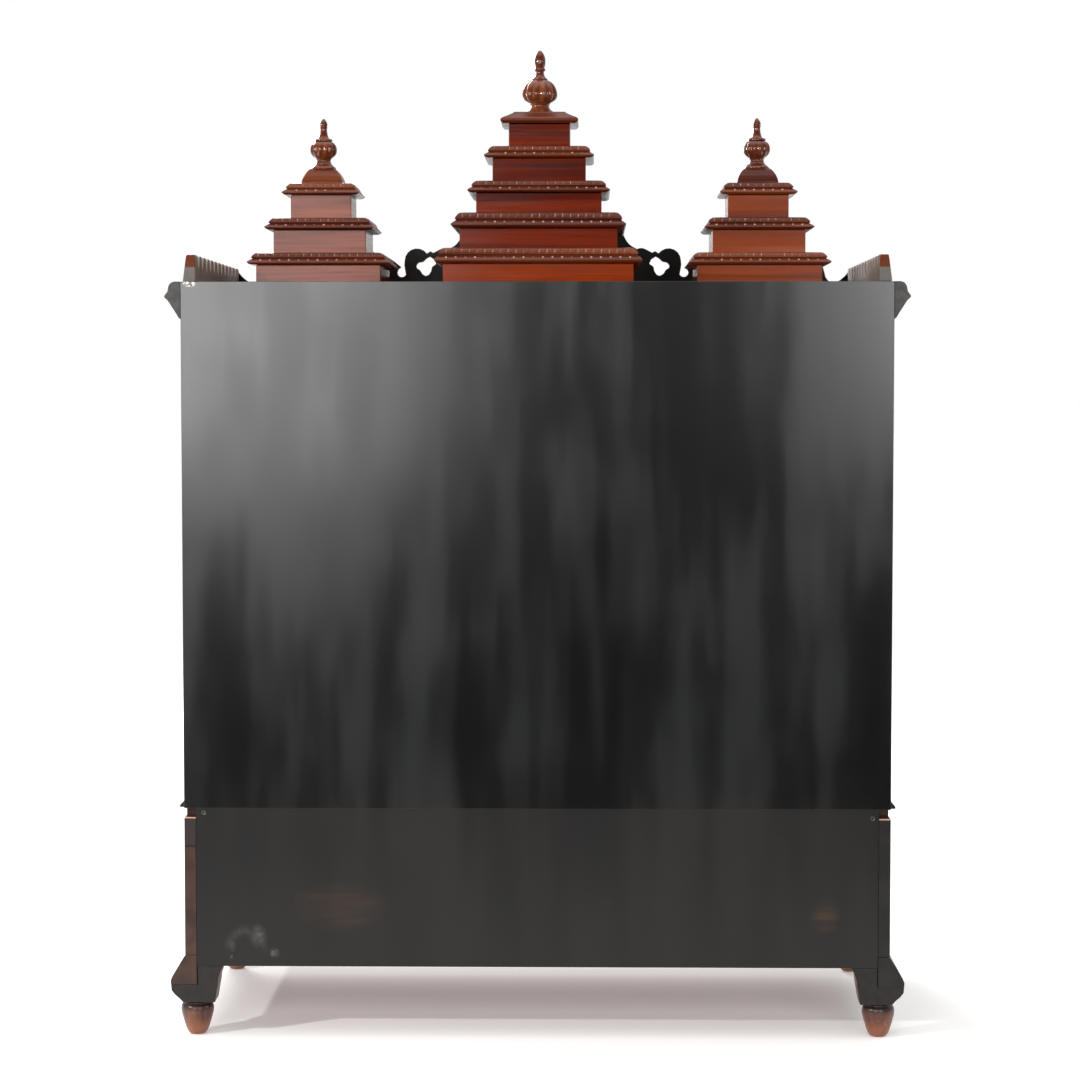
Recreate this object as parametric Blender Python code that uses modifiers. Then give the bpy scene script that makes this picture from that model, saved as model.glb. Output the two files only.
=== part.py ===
"""Household altar cabinet: a wooden home shrine on bun feet, with three stepped roofs and turned finials.

Metres, +Z up. The front faces -Y and the black painted back panel, which the photo shows, faces +Y.
"""

import math

import bmesh
import bpy
from mathutils import Matrix, Vector

# Body
BODY_WIDTH = 1.200
BODY_DEPTH = 0.600
BOARD = 0.020
PANEL_THICK = 0.012
JOINT_GAP = 0.0003

# Heights of the base, from the floor up
BUN_HEIGHT = 0.0605
BUN_RADIUS = 0.028
BUN_INSET = 0.016
NOSE_HEIGHT = 0.0315
SKIRT_HEIGHT = 0.051
SKIRT_OUT = 0.025
BOTTOM_BOARD_RISE = 0.032
BOTTOM_BOARD_THICK = 0.018
BASE_SIDE_HEIGHT = 0.237
NECK_HEIGHT = 0.015
NECK_INSET = 0.003
FLOOR_THICK = 0.018
FLOOR_OUT = 0.009
BRACKET_WIDTH = 0.065
BRACKET_FOOT_WIDTH = 0.050
BACK_FOOT_INSET = 0.002

# Upper shrine
UPPER_SIDE_HEIGHT = 0.8565
ROOF_THICK = 0.018
CROWN_HEIGHT = 0.063
CROWN_OUT = 0.027
FRONT_BOARD = 0.018
STILE_WIDTH = 0.060
RAIL_HEIGHT = 0.050

# Front columns and arch board
COLUMN_BLOCK = 0.046
COLUMN_BLOCK_HEIGHT = 0.070
COLUMN_RADIUS = 0.021
COLUMN_INSET = 0.008
ARCH_DROP = 0.210
CENTRE_ARCH_HALF = 0.180
PENDANT_WIDTH = 0.030
PENDANT_DROP = 0.022
CENTRE_ARCH_RISE = 0.128
SIDE_ARCH_RISE = 0.112
ARCH_FOILS = 7

# Crestings round the roof's edge
CRESTING_HEIGHT = 0.045
CRESTING_THICK = 0.021
CRESTING_LEAN = 0.006
CRESTING_EDGE = 0.004
FINGER_COUNT = 12
FINGER_DEPTH = 0.024
FINGER_GAP_TOP = 0.019
FINGER_GAP_BOTTOM = 0.005
FRONT_CREST_THICK = 0.015

# Stepped roofs
CENTRE_BOX_WIDTH = 0.330
SIDE_BOX_WIDTH = 0.218
CENTRE_TIERS = 5
SIDE_TIERS = 3
SIDE_ROOF_MARGIN = 0.214
TIER_STEP = 0.0555
TIER_PITCH = 0.0625
FIRST_BOX_HEIGHT = 0.036
BOX_WALL = 0.012
CORNICE_OUT = 0.0145
WIDE_CORNICE_THICK = 0.0275
NARROW_CORNICE_THICK = 0.022
WIDE_CORNICE_FROM = 0.250
CENTRE_CAP_HEIGHT = 0.022
SIDE_CAP_HEIGHT = 0.027
SIDE_CAP_WIDTH = 0.073

# Finials
CENTRE_FINIAL_HEIGHT = 0.112
CENTRE_FINIAL_RADIUS = 0.032
SIDE_FINIAL_HEIGHT = 0.090
SIDE_FINIAL_RADIUS = 0.024
LOBES = 12
LOBE_DEPTH = 0.10

TURNED_STEPS = 16
FINIAL_STEPS = 2 * LOBES

# Levels and planes worked out from the sizes above
BACK_Y = (BODY_DEPTH + CROWN_OUT) / 2
FRONT_Y = BACK_Y - BODY_DEPTH
MID_Y = BACK_Y - BODY_DEPTH / 2
HALF_WIDTH = BODY_WIDTH / 2
INNER_HALF = HALF_WIDTH - BOARD
PANEL_FRONT_Y = BACK_Y - PANEL_THICK
SKIRT_Z = BUN_HEIGHT + NOSE_HEIGHT
BASE_SIDE_Z = SKIRT_Z + SKIRT_HEIGHT
BOTTOM_Z = SKIRT_Z + BOTTOM_BOARD_RISE
NECK_Z = BASE_SIDE_Z + BASE_SIDE_HEIGHT
FLOOR_Z = NECK_Z + NECK_HEIGHT
UPPER_Z = FLOOR_Z + FLOOR_THICK
ROOF_Z = UPPER_Z + UPPER_SIDE_HEIGHT
TOP_Z = ROOF_Z + ROOF_THICK

SIDES = (("left", 1), ("right", -1))
ENDS = (("back", 1), ("front", -1))


def linear(hex_colour):
    """An sRGB hex colour as linear RGBA."""
    channels = [int(hex_colour[i : i + 2], 16) / 255 for i in (1, 3, 5)]
    return [c / 12.92 if c <= 0.04045 else ((c + 0.055) / 1.055) ** 2.4 for c in channels] + [1]


def new_material(name, hex_colour, roughness):
    material = bpy.data.materials.new(name)
    material.use_nodes = True
    material.diffuse_color = linear(hex_colour)
    shader = material.node_tree.nodes["Principled BSDF"]
    shader.inputs["Base Color"].default_value = linear(hex_colour)
    shader.inputs["Roughness"].default_value = roughness
    shader.inputs["Metallic"].default_value = 0.0
    return material


def clear_scene():
    for obj in list(bpy.data.objects):
        bpy.data.objects.remove(obj, do_unlink=True)


def new_collection(name, hidden=False):
    collection = bpy.data.collections.new(name)
    bpy.context.scene.collection.children.link(collection)
    collection.hide_render = hidden
    return collection


def add_mesh(name, mesh, finish, smooth=False):
    """Puts a mesh in the scene as one named piece."""
    obj = bpy.data.objects.new(name, mesh)
    collections["pieces"].objects.link(obj)
    mesh.materials.clear()
    mesh.materials.append(finishes[finish])
    if smooth:
        mesh.shade_smooth()
        mesh.set_sharp_from_angle(angle=math.radians(35))
    return obj


def mesh_of(obj):
    """The evaluated mesh of a helper object, with its loose caps sewn, and the helper removed."""
    bpy.context.view_layer.update()
    graph = bpy.context.evaluated_depsgraph_get()
    mesh = bpy.data.meshes.new_from_object(obj.evaluated_get(graph))
    form = bmesh.new()
    form.from_mesh(mesh)
    bmesh.ops.remove_doubles(form, verts=form.verts, dist=0.00001)
    bmesh.ops.recalc_face_normals(form, faces=form.faces)
    form.to_mesh(mesh)
    form.free()
    bpy.data.objects.remove(obj, do_unlink=True)
    return mesh


def add_box(name, low, high, finish):
    """A board between two opposite corners."""
    low = Vector(low)
    high = Vector(high)
    mesh = bpy.data.meshes.new(name)
    form = bmesh.new()
    size = Matrix.Diagonal((high - low).to_4d())
    bmesh.ops.create_cube(form, size=1, matrix=Matrix.Translation((low + high) / 2) @ size)
    form.to_mesh(mesh)
    form.free()
    return add_mesh(name, mesh, finish)


def flat_mesh(outlines, thickness):
    """A flat shape in X and Y, with any holes given as further outlines, centred on Z = 0."""
    curve = bpy.data.curves.new("outline", "CURVE")
    curve.dimensions = "2D"
    curve.fill_mode = "BOTH"
    curve.extrude = thickness / 2
    for outline in outlines:
        spline = curve.splines.new("POLY")
        spline.points.add(len(outline) - 1)
        for point, (x, y) in zip(spline.points, outline):
            point.co = (x, y, 0, 1)
        spline.use_cyclic_u = True
    helper = bpy.data.objects.new("outline", curve)
    bpy.context.scene.collection.objects.link(helper)
    return mesh_of(helper)


def add_upright(name, outlines, y_low, y_high, finish):
    """A board whose outlines are drawn in X and Z and whose thickness runs along Y."""
    mesh = flat_mesh(outlines, y_high - y_low)
    turn = Matrix(((1, 0, 0, 0), (0, 0, -1, (y_low + y_high) / 2), (0, 1, 0, 0), (0, 0, 0, 1)))
    mesh.transform(turn)
    return add_mesh(name, mesh, finish)


def turned_mesh(profile, steps):
    """A profile of (radius, height) points, from the top down its outer side, turned about Z."""
    mesh = bpy.data.meshes.new("profile")
    form = bmesh.new()
    points = [form.verts.new((radius, 0, height)) for radius, height in profile]
    for upper, lower in zip(points, points[1:]):
        form.edges.new((upper, lower))
    form.to_mesh(mesh)
    form.free()
    helper = bpy.data.objects.new("profile", mesh)
    bpy.context.scene.collection.objects.link(helper)
    screw = helper.modifiers.new("Screw", "SCREW")
    screw.axis = "Z"
    screw.angle = math.tau
    screw.steps = steps
    screw.render_steps = steps
    screw.use_merge_vertices = True
    screw.merge_threshold = 0.0001
    return mesh_of(helper)


def square_mesh(profile):
    """A profile of (half width, height) points carried round a square, with mitred corners."""
    corners = [(half * math.sqrt(2), height) for half, height in profile]
    mesh = turned_mesh(corners, 4)
    mesh.transform(Matrix.Rotation(math.radians(45), 4, "Z"))
    return mesh


def add_placed(name, mesh, centre, finish, smooth=False):
    obj = add_mesh(name, mesh, finish, smooth)
    obj.location = centre
    return obj


def add_stack(name, levels, finish):
    """Rectangles (x low, x high, y low, y high, height), from the bottom up, joined into one solid."""
    mesh = bpy.data.meshes.new(name)
    form = bmesh.new()
    bmesh.ops.create_grid(form, x_segments=1, y_segments=1, size=1)
    face = form.faces[:][0]
    corners = [(vert, vert.co.x > 0, vert.co.y > 0) for vert in face.verts]
    for number, (x_low, x_high, y_low, y_high, height) in enumerate(levels):
        if number:
            grown = bmesh.ops.extrude_face_region(form, geom=[face])["geom"]
            verts = [item for item in grown if isinstance(item, bmesh.types.BMVert)]
            above = {vert.co.copy().freeze(): vert for vert in verts}
            if number > 1:
                bmesh.ops.delete(form, geom=[face], context="FACES_ONLY")
            face = next(item for item in grown if isinstance(item, bmesh.types.BMFace))
            corners = [(above[old.co.copy().freeze()], east, north) for old, east, north in corners]
        for vert, east, north in corners:
            vert.co = (x_high if east else x_low, y_high if north else y_low, height)
    bmesh.ops.recalc_face_normals(form, faces=form.faces)
    form.to_mesh(mesh)
    form.free()
    return add_mesh(name, mesh, finish)


def clearance(profile):
    """The gap behind a moulding that lies against the body, and none for one that is part of the box."""
    return JOINT_GAP if min(out for out, _ in profile) == 0 else 0


def add_side_run(name, side, profile, finish):
    """A moulding along one side: (out, height) points beyond the body, mitred at its front corner."""
    gap = clearance(profile)
    mesh = flat_mesh([profile], 1.0)
    for vert in mesh.vertices:
        out, height, end = vert.co
        y = BACK_Y if end > 0 else FRONT_Y - out + JOINT_GAP
        vert.co = (side * (HALF_WIDTH + out + gap), y, height)
    return finish_run(name, mesh, finish)


def add_front_run(name, profile, finish):
    """A moulding along the front, mitred at both corners."""
    gap = clearance(profile)
    mesh = flat_mesh([profile], 1.0)
    for vert in mesh.vertices:
        out, height, end = vert.co
        half = HALF_WIDTH + out - JOINT_GAP
        vert.co = (math.copysign(half, end), FRONT_Y - out - gap, height)
    return finish_run(name, mesh, finish)


def finish_run(name, mesh, finish):
    form = bmesh.new()
    form.from_mesh(mesh)
    bmesh.ops.recalc_face_normals(form, faces=form.faces)
    form.to_mesh(mesh)
    form.free()
    return add_mesh(name, mesh, finish)


def arc(centre, radius, start, end, count):
    """Points on a circle from one angle to another, in degrees, both ends included."""
    points = []
    for number in range(count + 1):
        angle = math.radians(start + (end - start) * number / count)
        points.append((centre[0] + radius * math.cos(angle), centre[1] + radius * math.sin(angle)))
    return points


def smooth_run(start, bend, end, count):
    """Points on a curve from start to end that leans toward bend, both ends left out."""
    points = []
    for number in range(1, count):
        t = number / count
        weights = ((1 - t) ** 2, 2 * t * (1 - t), t * t)
        points.append(tuple(sum(w * p[axis] for w, p in zip(weights, (start, bend, end))) for axis in (0, 1)))
    return points


def mirrored(half_outline):
    """A whole outline from its half at X > 0, which runs from the bottom round to the top."""
    other = [(-x, z) for x, z in reversed(half_outline) if x > 1e-9]
    return half_outline + other


def bun_profile():
    """A turned bun foot: a flat pad above, a round shoulder and a taper to a small flat sole."""
    shares = (
        (0.0, 1.0),
        (0.78, 1.0),
        (0.90, 0.96),
        (0.94, 0.88),
        (1.0, 0.80),
        (0.99, 0.66),
        (0.90, 0.50),
        (0.80, 0.34),
        (0.68, 0.17),
        (0.52, 0.05),
        (0.34, 0.0),
        (0.0, 0.0),
    )
    top = BUN_HEIGHT - JOINT_GAP
    return [(BUN_RADIUS * radius, top * height) for radius, height in shares]


def add_feet():
    """Four bun feet, each under a corner block with a moulded nose."""
    nose = ((0.18, 0.0), (0.40, 0.20), (0.72, 0.42), (0.96, 0.66), (1.0, 1.0))
    for side_name, side in SIDES:
        for end_name, end in ENDS:
            at_front = end < 0
            y_foot = FRONT_Y + BOARD + BUN_INSET if at_front else BACK_Y - BOARD - BUN_INSET
            bun = turned_mesh(bun_profile(), TURNED_STEPS)
            centre = (side * (HALF_WIDTH - BUN_INSET), y_foot, 0)
            add_placed(f"bun_foot_{end_name}_{side_name}", bun, centre, "foot_wood", smooth=True)
            levels = []
            for share, rise in nose:
                out = share * SKIRT_OUT
                inner = HALF_WIDTH - BRACKET_FOOT_WIDTH - 0.1 * BRACKET_FOOT_WIDTH * rise
                levels.append((out, inner, BUN_HEIGHT + rise * (NOSE_HEIGHT - JOINT_GAP)))
            top = BOTTOM_Z - JOINT_GAP
            ledge = -BOARD - JOINT_GAP
            start = levels[-1][1]
            levels.append((ledge, start, levels[-1][2]))
            for share in (0.35, 0.7, 1.0):
                inner = start + (HALF_WIDTH - BRACKET_WIDTH - start) * share**2
                levels.append((ledge, inner, SKIRT_Z + share * (top - SKIRT_Z)))
            stack = []
            for out, inner, height in levels:
                outer = HALF_WIDTH + out
                depth = outer - inner
                x_low, x_high = sorted((side * outer, side * inner))
                if at_front:
                    y_low = FRONT_Y - out
                    y_high = y_low + depth
                else:
                    y_high = BACK_Y - BACK_FOOT_INSET
                    y_low = BACK_Y - (HALF_WIDTH - inner)
                stack.append((x_low, x_high, y_low, y_high, height))
            add_stack(f"foot_block_{end_name}_{side_name}", stack, "foot_wood")


def add_base():
    """The low cabinet: flared skirting, sides, back, floor and an open framed front."""
    top = BASE_SIDE_Z - JOINT_GAP
    skirt = [
        (-BOARD, SKIRT_Z),
        (SKIRT_OUT, SKIRT_Z),
        (SKIRT_OUT, SKIRT_Z + 0.14 * SKIRT_HEIGHT),
        (0.88 * SKIRT_OUT, SKIRT_Z + 0.28 * SKIRT_HEIGHT),
        (0.40 * SKIRT_OUT, SKIRT_Z + 0.68 * SKIRT_HEIGHT),
        (0.12 * SKIRT_OUT, SKIRT_Z + 0.90 * SKIRT_HEIGHT),
        (0.0, top),
        (-BOARD, top),
    ]
    for side_name, side in SIDES:
        add_side_run(f"skirting_{side_name}", side, skirt, "side_wood")
        x_low, x_high = sorted((side * INNER_HALF, side * HALF_WIDTH))
        low = (x_low, FRONT_Y, BASE_SIDE_Z)
        high = (x_high, BACK_Y, NECK_Z - JOINT_GAP)
        add_box(f"base_side_{side_name}", low, high, "side_wood")
    add_front_run("skirting_front", skirt, "side_wood")

    inner = INNER_HALF - JOINT_GAP
    front_inner_y = FRONT_Y + BOARD + JOINT_GAP
    panel_top = FLOOR_Z - JOINT_GAP
    add_box("base_back_panel", (-inner, PANEL_FRONT_Y, BOTTOM_Z), (inner, BACK_Y, panel_top), "black_paint")
    low = (-inner, front_inner_y, BOTTOM_Z)
    high = (inner, PANEL_FRONT_Y - JOINT_GAP, BOTTOM_Z + BOTTOM_BOARD_THICK)
    add_box("base_floor_board", low, high, "side_wood")
    stile_inner = inner - STILE_WIDTH
    for side_name, side in SIDES:
        x_low, x_high = sorted((side * stile_inner, side * inner))
        low = (x_low, FRONT_Y, BASE_SIDE_Z)
        high = (x_high, FRONT_Y + BOARD, NECK_Z - JOINT_GAP)
        add_box(f"base_stile_{side_name}", low, high, "mahogany")
    rail = stile_inner - JOINT_GAP
    low = (-rail, FRONT_Y, NECK_Z - RAIL_HEIGHT)
    high = (rail, FRONT_Y + BOARD, NECK_Z - JOINT_GAP)
    add_box("base_top_rail", low, high, "mahogany")

    neck = HALF_WIDTH - NECK_INSET
    low = (-neck, FRONT_Y + NECK_INSET, NECK_Z)
    high = (neck, PANEL_FRONT_Y - JOINT_GAP, FLOOR_Z - JOINT_GAP)
    add_box("neck_board", low, high, "side_wood")
    levels = []
    for share, rise in ((1.0, 0.0), (1.0, 0.22), (0.62, 0.40), (0.22, 0.62), (0.0, 1.0)):
        out = share * FLOOR_OUT
        half = HALF_WIDTH + out
        height = FLOOR_Z + rise * (FLOOR_THICK - JOINT_GAP)
        levels.append((-half, half, FRONT_Y - out, PANEL_FRONT_Y - JOINT_GAP, height))
    add_stack("shrine_floor", levels, "side_wood")


def scalloped_arch(x_from, x_to, spring, rise):
    """The underside of a cusped arch, between its springing points, from x_from to x_to."""
    centre = (x_from + x_to) / 2
    half = (x_to - x_from) / 2
    cusps = []
    for number in range(ARCH_FOILS + 1):
        angle = math.pi * (1 - number / ARCH_FOILS)
        cusps.append(Vector((centre + half * math.cos(angle), spring + rise * math.sin(angle))))
    points = []
    for start, end in zip(cusps, cusps[1:]):
        across = end - start
        outward = Vector((-across.y, across.x))
        for number in range(4):
            t = number / 4
            bulge = 0.30 * math.sin(math.pi * t)
            points.append(tuple(start + across * t + outward * bulge))
    points.append(tuple(cusps[-1]))
    return points


def add_upper():
    """The shrine itself: sides, the black back panel, roof board, crown moulding and arched front."""
    panel_y = PANEL_FRONT_Y - JOINT_GAP
    for side_name, side in SIDES:
        x_low, x_high = sorted((side * INNER_HALF, side * HALF_WIDTH))
        low = (x_low, FRONT_Y, UPPER_Z)
        high = (x_high, panel_y, ROOF_Z - JOINT_GAP)
        add_box(f"shrine_side_{side_name}", low, high, "side_wood")
    low = (-HALF_WIDTH, PANEL_FRONT_Y, FLOOR_Z)
    high = (HALF_WIDTH, BACK_Y, TOP_Z)
    add_box("back_panel", low, high, "black_paint")
    add_box("roof_board", (-HALF_WIDTH, FRONT_Y, ROOF_Z), (HALF_WIDTH, panel_y, TOP_Z), "mahogany")

    shares = (
        (0.0, 1.0),
        (0.37, 1.0),
        (0.59, 0.97),
        (0.74, 0.88),
        (0.81, 0.73),
        (1.0, 0.62),
        (1.0, 0.58),
        (0.78, 0.49),
        (0.54, 0.33),
        (0.30, 0.17),
        (0.11, 0.03),
        (0.0, 0.0),
    )
    bottom = TOP_Z - CROWN_HEIGHT
    crown = [(out * CROWN_OUT, bottom + rise * CROWN_HEIGHT) for out, rise in reversed(shares)]
    for side_name, side in SIDES:
        add_side_run(f"crown_moulding_{side_name}", side, crown, "side_wood")
    add_front_run("crown_moulding_front", crown, "mahogany")


def add_front():
    """Two front columns and the arched board that they carry."""
    inner = INNER_HALF - JOINT_GAP
    arch_top = ROOF_Z - JOINT_GAP
    spring = ROOF_Z - ARCH_DROP
    column_x = inner - COLUMN_INSET - COLUMN_BLOCK / 2
    post_edge = column_x - COLUMN_BLOCK / 2 - COLUMN_INSET
    side_from = CENTRE_ARCH_HALF + PENDANT_WIDTH
    half = [(0, arch_top), (inner, arch_top), (inner, spring)]
    pendant_x = (CENTRE_ARCH_HALF + side_from) / 2
    side_arch = scalloped_arch(side_from, post_edge, spring, SIDE_ARCH_RISE)
    tip = spring - PENDANT_DROP
    pendant = [
        (pendant_x + 0.30 * PENDANT_WIDTH, spring - 0.3 * PENDANT_DROP),
        (pendant_x + 0.36 * PENDANT_WIDTH, spring - 0.7 * PENDANT_DROP),
        (pendant_x, tip),
        (pendant_x - 0.36 * PENDANT_WIDTH, spring - 0.7 * PENDANT_DROP),
        (pendant_x - 0.30 * PENDANT_WIDTH, spring - 0.3 * PENDANT_DROP),
    ]
    centre_arch = scalloped_arch(-CENTRE_ARCH_HALF, CENTRE_ARCH_HALF, spring, CENTRE_ARCH_RISE)
    right_half = half[1:] + list(reversed(side_arch)) + pendant
    left_half = [(-x, z) for x, z in reversed(right_half)]
    outline = right_half + list(reversed(centre_arch)) + left_half
    add_upright("arch_board", [outline], FRONT_Y, FRONT_Y + FRONT_BOARD, "mahogany")

    bottom = UPPER_Z
    top = spring - JOINT_GAP
    shaft = top - bottom - 2 * COLUMN_BLOCK_HEIGHT
    beads = (
        (0.0, 1.02),
        (0.70, 1.02),
        (0.95, 0.985),
        (0.95, 0.965),
        (0.62, 0.95),
        (0.62, 0.93),
        (1.0, 0.905),
        (0.95, 0.88),
        (0.58, 0.86),
        (0.62, 0.70),
        (0.72, 0.45),
        (0.90, 0.22),
        (1.0, 0.15),
        (0.92, 0.10),
        (0.60, 0.075),
        (0.60, 0.055),
        (0.95, 0.035),
        (0.95, 0.015),
        (0.70, -0.02),
        (0.0, -0.02),
    )
    profile = [(COLUMN_RADIUS * radius, bottom + COLUMN_BLOCK_HEIGHT + rise * shaft) for radius, rise in beads]
    column_y = FRONT_Y + COLUMN_BLOCK / 2
    for side_name, side in SIDES:
        name = f"front_column_{side_name}"
        centre = (side * column_x, column_y, 0)
        column = add_placed(name, turned_mesh(profile, TURNED_STEPS), centre, "mahogany", smooth=True)
        for end, low in (("foot", bottom), ("head", top - COLUMN_BLOCK_HEIGHT)):
            corner = (centre[0] - COLUMN_BLOCK / 2, column_y - COLUMN_BLOCK / 2, low)
            other = (centre[0] + COLUMN_BLOCK / 2, column_y + COLUMN_BLOCK / 2, low + COLUMN_BLOCK_HEIGHT)
            block = add_box(f"{name}_{end}", corner, other, "mahogany")
            join(column, block)


def join(piece, other):
    """Unites another body with a piece and keeps that body among the hidden cutters."""
    collections["pieces"].objects.unlink(other)
    collections["cutters"].objects.link(other)
    other.hide_render = True
    other.display_type = "WIRE"
    boolean = piece.modifiers.new("Join", "BOOLEAN")
    boolean.operation = "UNION"
    boolean.solver = "EXACT"
    boolean.object = other


def add_side_crestings():
    """The low comb boards along the roof's sides, with rounded fingers and a leaning outer face."""
    front = FRONT_Y + FRONT_CREST_THICK + JOINT_GAP
    length = BACK_Y - front
    pitch = length / FINGER_COUNT
    top = TOP_Z + CRESTING_HEIGHT
    valley = top - FINGER_DEPTH
    outline = [(BACK_Y, TOP_Z + JOINT_GAP)]
    for number in range(FINGER_COUNT):
        y_high = BACK_Y - number * pitch
        y_low = y_high - pitch
        shoulder = FINGER_GAP_TOP / 2
        lead = 0 if number == 0 else shoulder
        tail = 0 if number == FINGER_COUNT - 1 else shoulder
        round_off = 0.004 if number == 0 else 0.009
        if number:
            outline.append((y_high - FINGER_GAP_BOTTOM / 2, valley))
        outline.append((y_high - lead, top - 0.011))
        outline.append((y_high - lead - round_off * 0.35, top - 0.0035))
        outline.append((y_high - lead - round_off, top))
        outline.append((y_low + tail + 0.009, top))
        outline.append((y_low + tail + 0.003, top - 0.0035))
        outline.append((y_low + tail, top - 0.011))
        if number < FINGER_COUNT - 1:
            outline.append((y_low + FINGER_GAP_BOTTOM / 2, valley))
    outline.append((front, TOP_Z + JOINT_GAP))
    for side_name, side in SIDES:
        mesh = flat_mesh([outline], CRESTING_THICK)
        outer = HALF_WIDTH - CRESTING_EDGE
        for vert in mesh.vertices:
            y, z, across = vert.co
            lean = CRESTING_LEAN * (z - TOP_Z) / CRESTING_HEIGHT if across > 0 else CRESTING_THICK
            vert.co = (side * (outer - lean), y, z)
        finish_run(f"side_cresting_{side_name}", mesh, "side_wood")


def add_front_crest():
    """The fretted board on the roof's front edge: low scoops, a scroll with a pierced eye and a tall middle.

    Its outline is drawn in hundredths of the board's half length, both across and up from the roof.
    """
    base = TOP_Z + JOINT_GAP
    edge = HALF_WIDTH - CRESTING_EDGE

    def at(points):
        return [(x * edge / 100, TOP_Z + rise * edge / 100) for x, rise in points]

    corner_top = TOP_Z + CRESTING_HEIGHT
    half = [(edge, base), (edge, corner_top), (0.975 * edge, corner_top)]
    half += at(
        smooth_run((97.3, 7.0), (94.0, 3.2), (92.0, 3.0), 4)
        + smooth_run((92.0, 3.0), (90.0, 3.4), (89.0, 6.2), 4)
        + arc((84.8, 7.0), 4.1, 10, 170, 6)
        + [(79.0, 5.4)]
        + smooth_run((79.0, 5.4), (66.0, 18.6), (50.4, 11.8), 8)
        + [(50.4, 11.8), (47.6, 10.4), (44.9, 8.2)]
        + arc((44.7, 6.5), 1.5, 40, -150, 5)
        + [(43.9, 8.8)]
        + arc((39.9, 10.2), 3.9, 0, 125, 6)
        + [(36.7, 12.5), (35.6, 13.2), (34.7, 12.7)]
        + arc((31.2, 11.6), 2.6, 60, 120, 3)
        + smooth_run((29.0, 14.4), (26.6, 15.2), (25.2, 19.4), 5)
        + [(25.2, 19.4)]
        + smooth_run((25.2, 19.4), (20.2, 18.7), (17.8, 23.4), 5)
        + [(17.8, 23.4)]
        + smooth_run((17.8, 23.4), (10.1, 23.7), (7.5, 29.2), 5)
        + [(7.5, 29.2)]
        + smooth_run((7.5, 29.2), (2.4, 30.1), (0.0, 34.3), 4)
        + [(0.0, 34.3)]
    )
    trefoil = (
        (40.1, 8.8),
        (39.4, 9.6),
        (37.9, 9.9),
        (36.9, 10.9),
        (35.8, 11.5),
        (34.4, 10.6),
        (33.8, 9.2),
        (35.1, 8.3),
        (35.4, 6.9),
        (36.1, 5.8),
        (37.1, 5.4),
        (38.2, 6.0),
        (39.0, 7.3),
        (40.0, 7.9),
    )
    eyes = [at([(side * x, rise) for x, rise in trefoil]) for _, side in SIDES]
    lobes = [at(arc((x, rise), 3.3, 0, 330, 11)) for x, rise in ((-12.6, 12.6), (0, 17.6), (12.6, 12.6))]
    outlines = [mirrored(half), *eyes, *lobes]
    add_upright("front_crest_board", outlines, FRONT_Y, FRONT_Y + FRONT_CREST_THICK, "mahogany")


def finial_profile(height, radius, shape):
    return [(radius * share, height * rise) for share, rise in shape]


CENTRE_FINIAL_SHAPE = (
    (0.0, 1.0),
    (0.16, 0.975),
    (0.27, 0.91),
    (0.31, 0.83),
    (0.26, 0.74),
    (0.31, 0.71),
    (0.30, 0.685),
    (0.22, 0.65),
    (0.28, 0.59),
    (0.40, 0.55),
    (0.66, 0.505),
    (0.86, 0.44),
    (0.97, 0.36),
    (1.0, 0.29),
    (0.88, 0.22),
    (0.62, 0.17),
    (0.51, 0.125),
    (0.56, 0.08),
    (0.78, 0.03),
    (0.86, 0.0),
    (0.0, 0.0),
)
CENTRE_BULB = (0.19, 0.53)

SIDE_FINIAL_SHAPE = (
    (0.0, 1.0),
    (0.13, 0.975),
    (0.24, 0.93),
    (0.29, 0.88),
    (0.26, 0.855),
    (0.29, 0.835),
    (0.25, 0.79),
    (0.29, 0.70),
    (0.38, 0.62),
    (0.64, 0.595),
    (0.66, 0.55),
    (0.80, 0.515),
    (0.96, 0.45),
    (1.0, 0.38),
    (0.90, 0.29),
    (0.66, 0.225),
    (0.52, 0.185),
    (0.56, 0.12),
    (0.76, 0.06),
    (0.93, 0.02),
    (0.93, 0.0),
    (0.0, 0.0),
)
SIDE_BULB = (0.22, 0.53)


def add_finial(name, x, z, height, radius, shape, bulb):
    """A turned finial whose bulb is carved into lobes."""
    mesh = turned_mesh(finial_profile(height, radius, shape), FINIAL_STEPS)
    for vert in mesh.vertices:
        rise = vert.co.z / height
        if not bulb[0] < rise < bulb[1]:
            continue
        angle = math.atan2(vert.co.y, vert.co.x)
        cut = LOBE_DEPTH * (0.5 - 0.5 * math.cos(LOBES * angle))
        vert.co.x *= 1 - cut
        vert.co.y *= 1 - cut
    add_placed(name, mesh, (x, MID_Y, z), "carved_wood", smooth=True)


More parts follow.
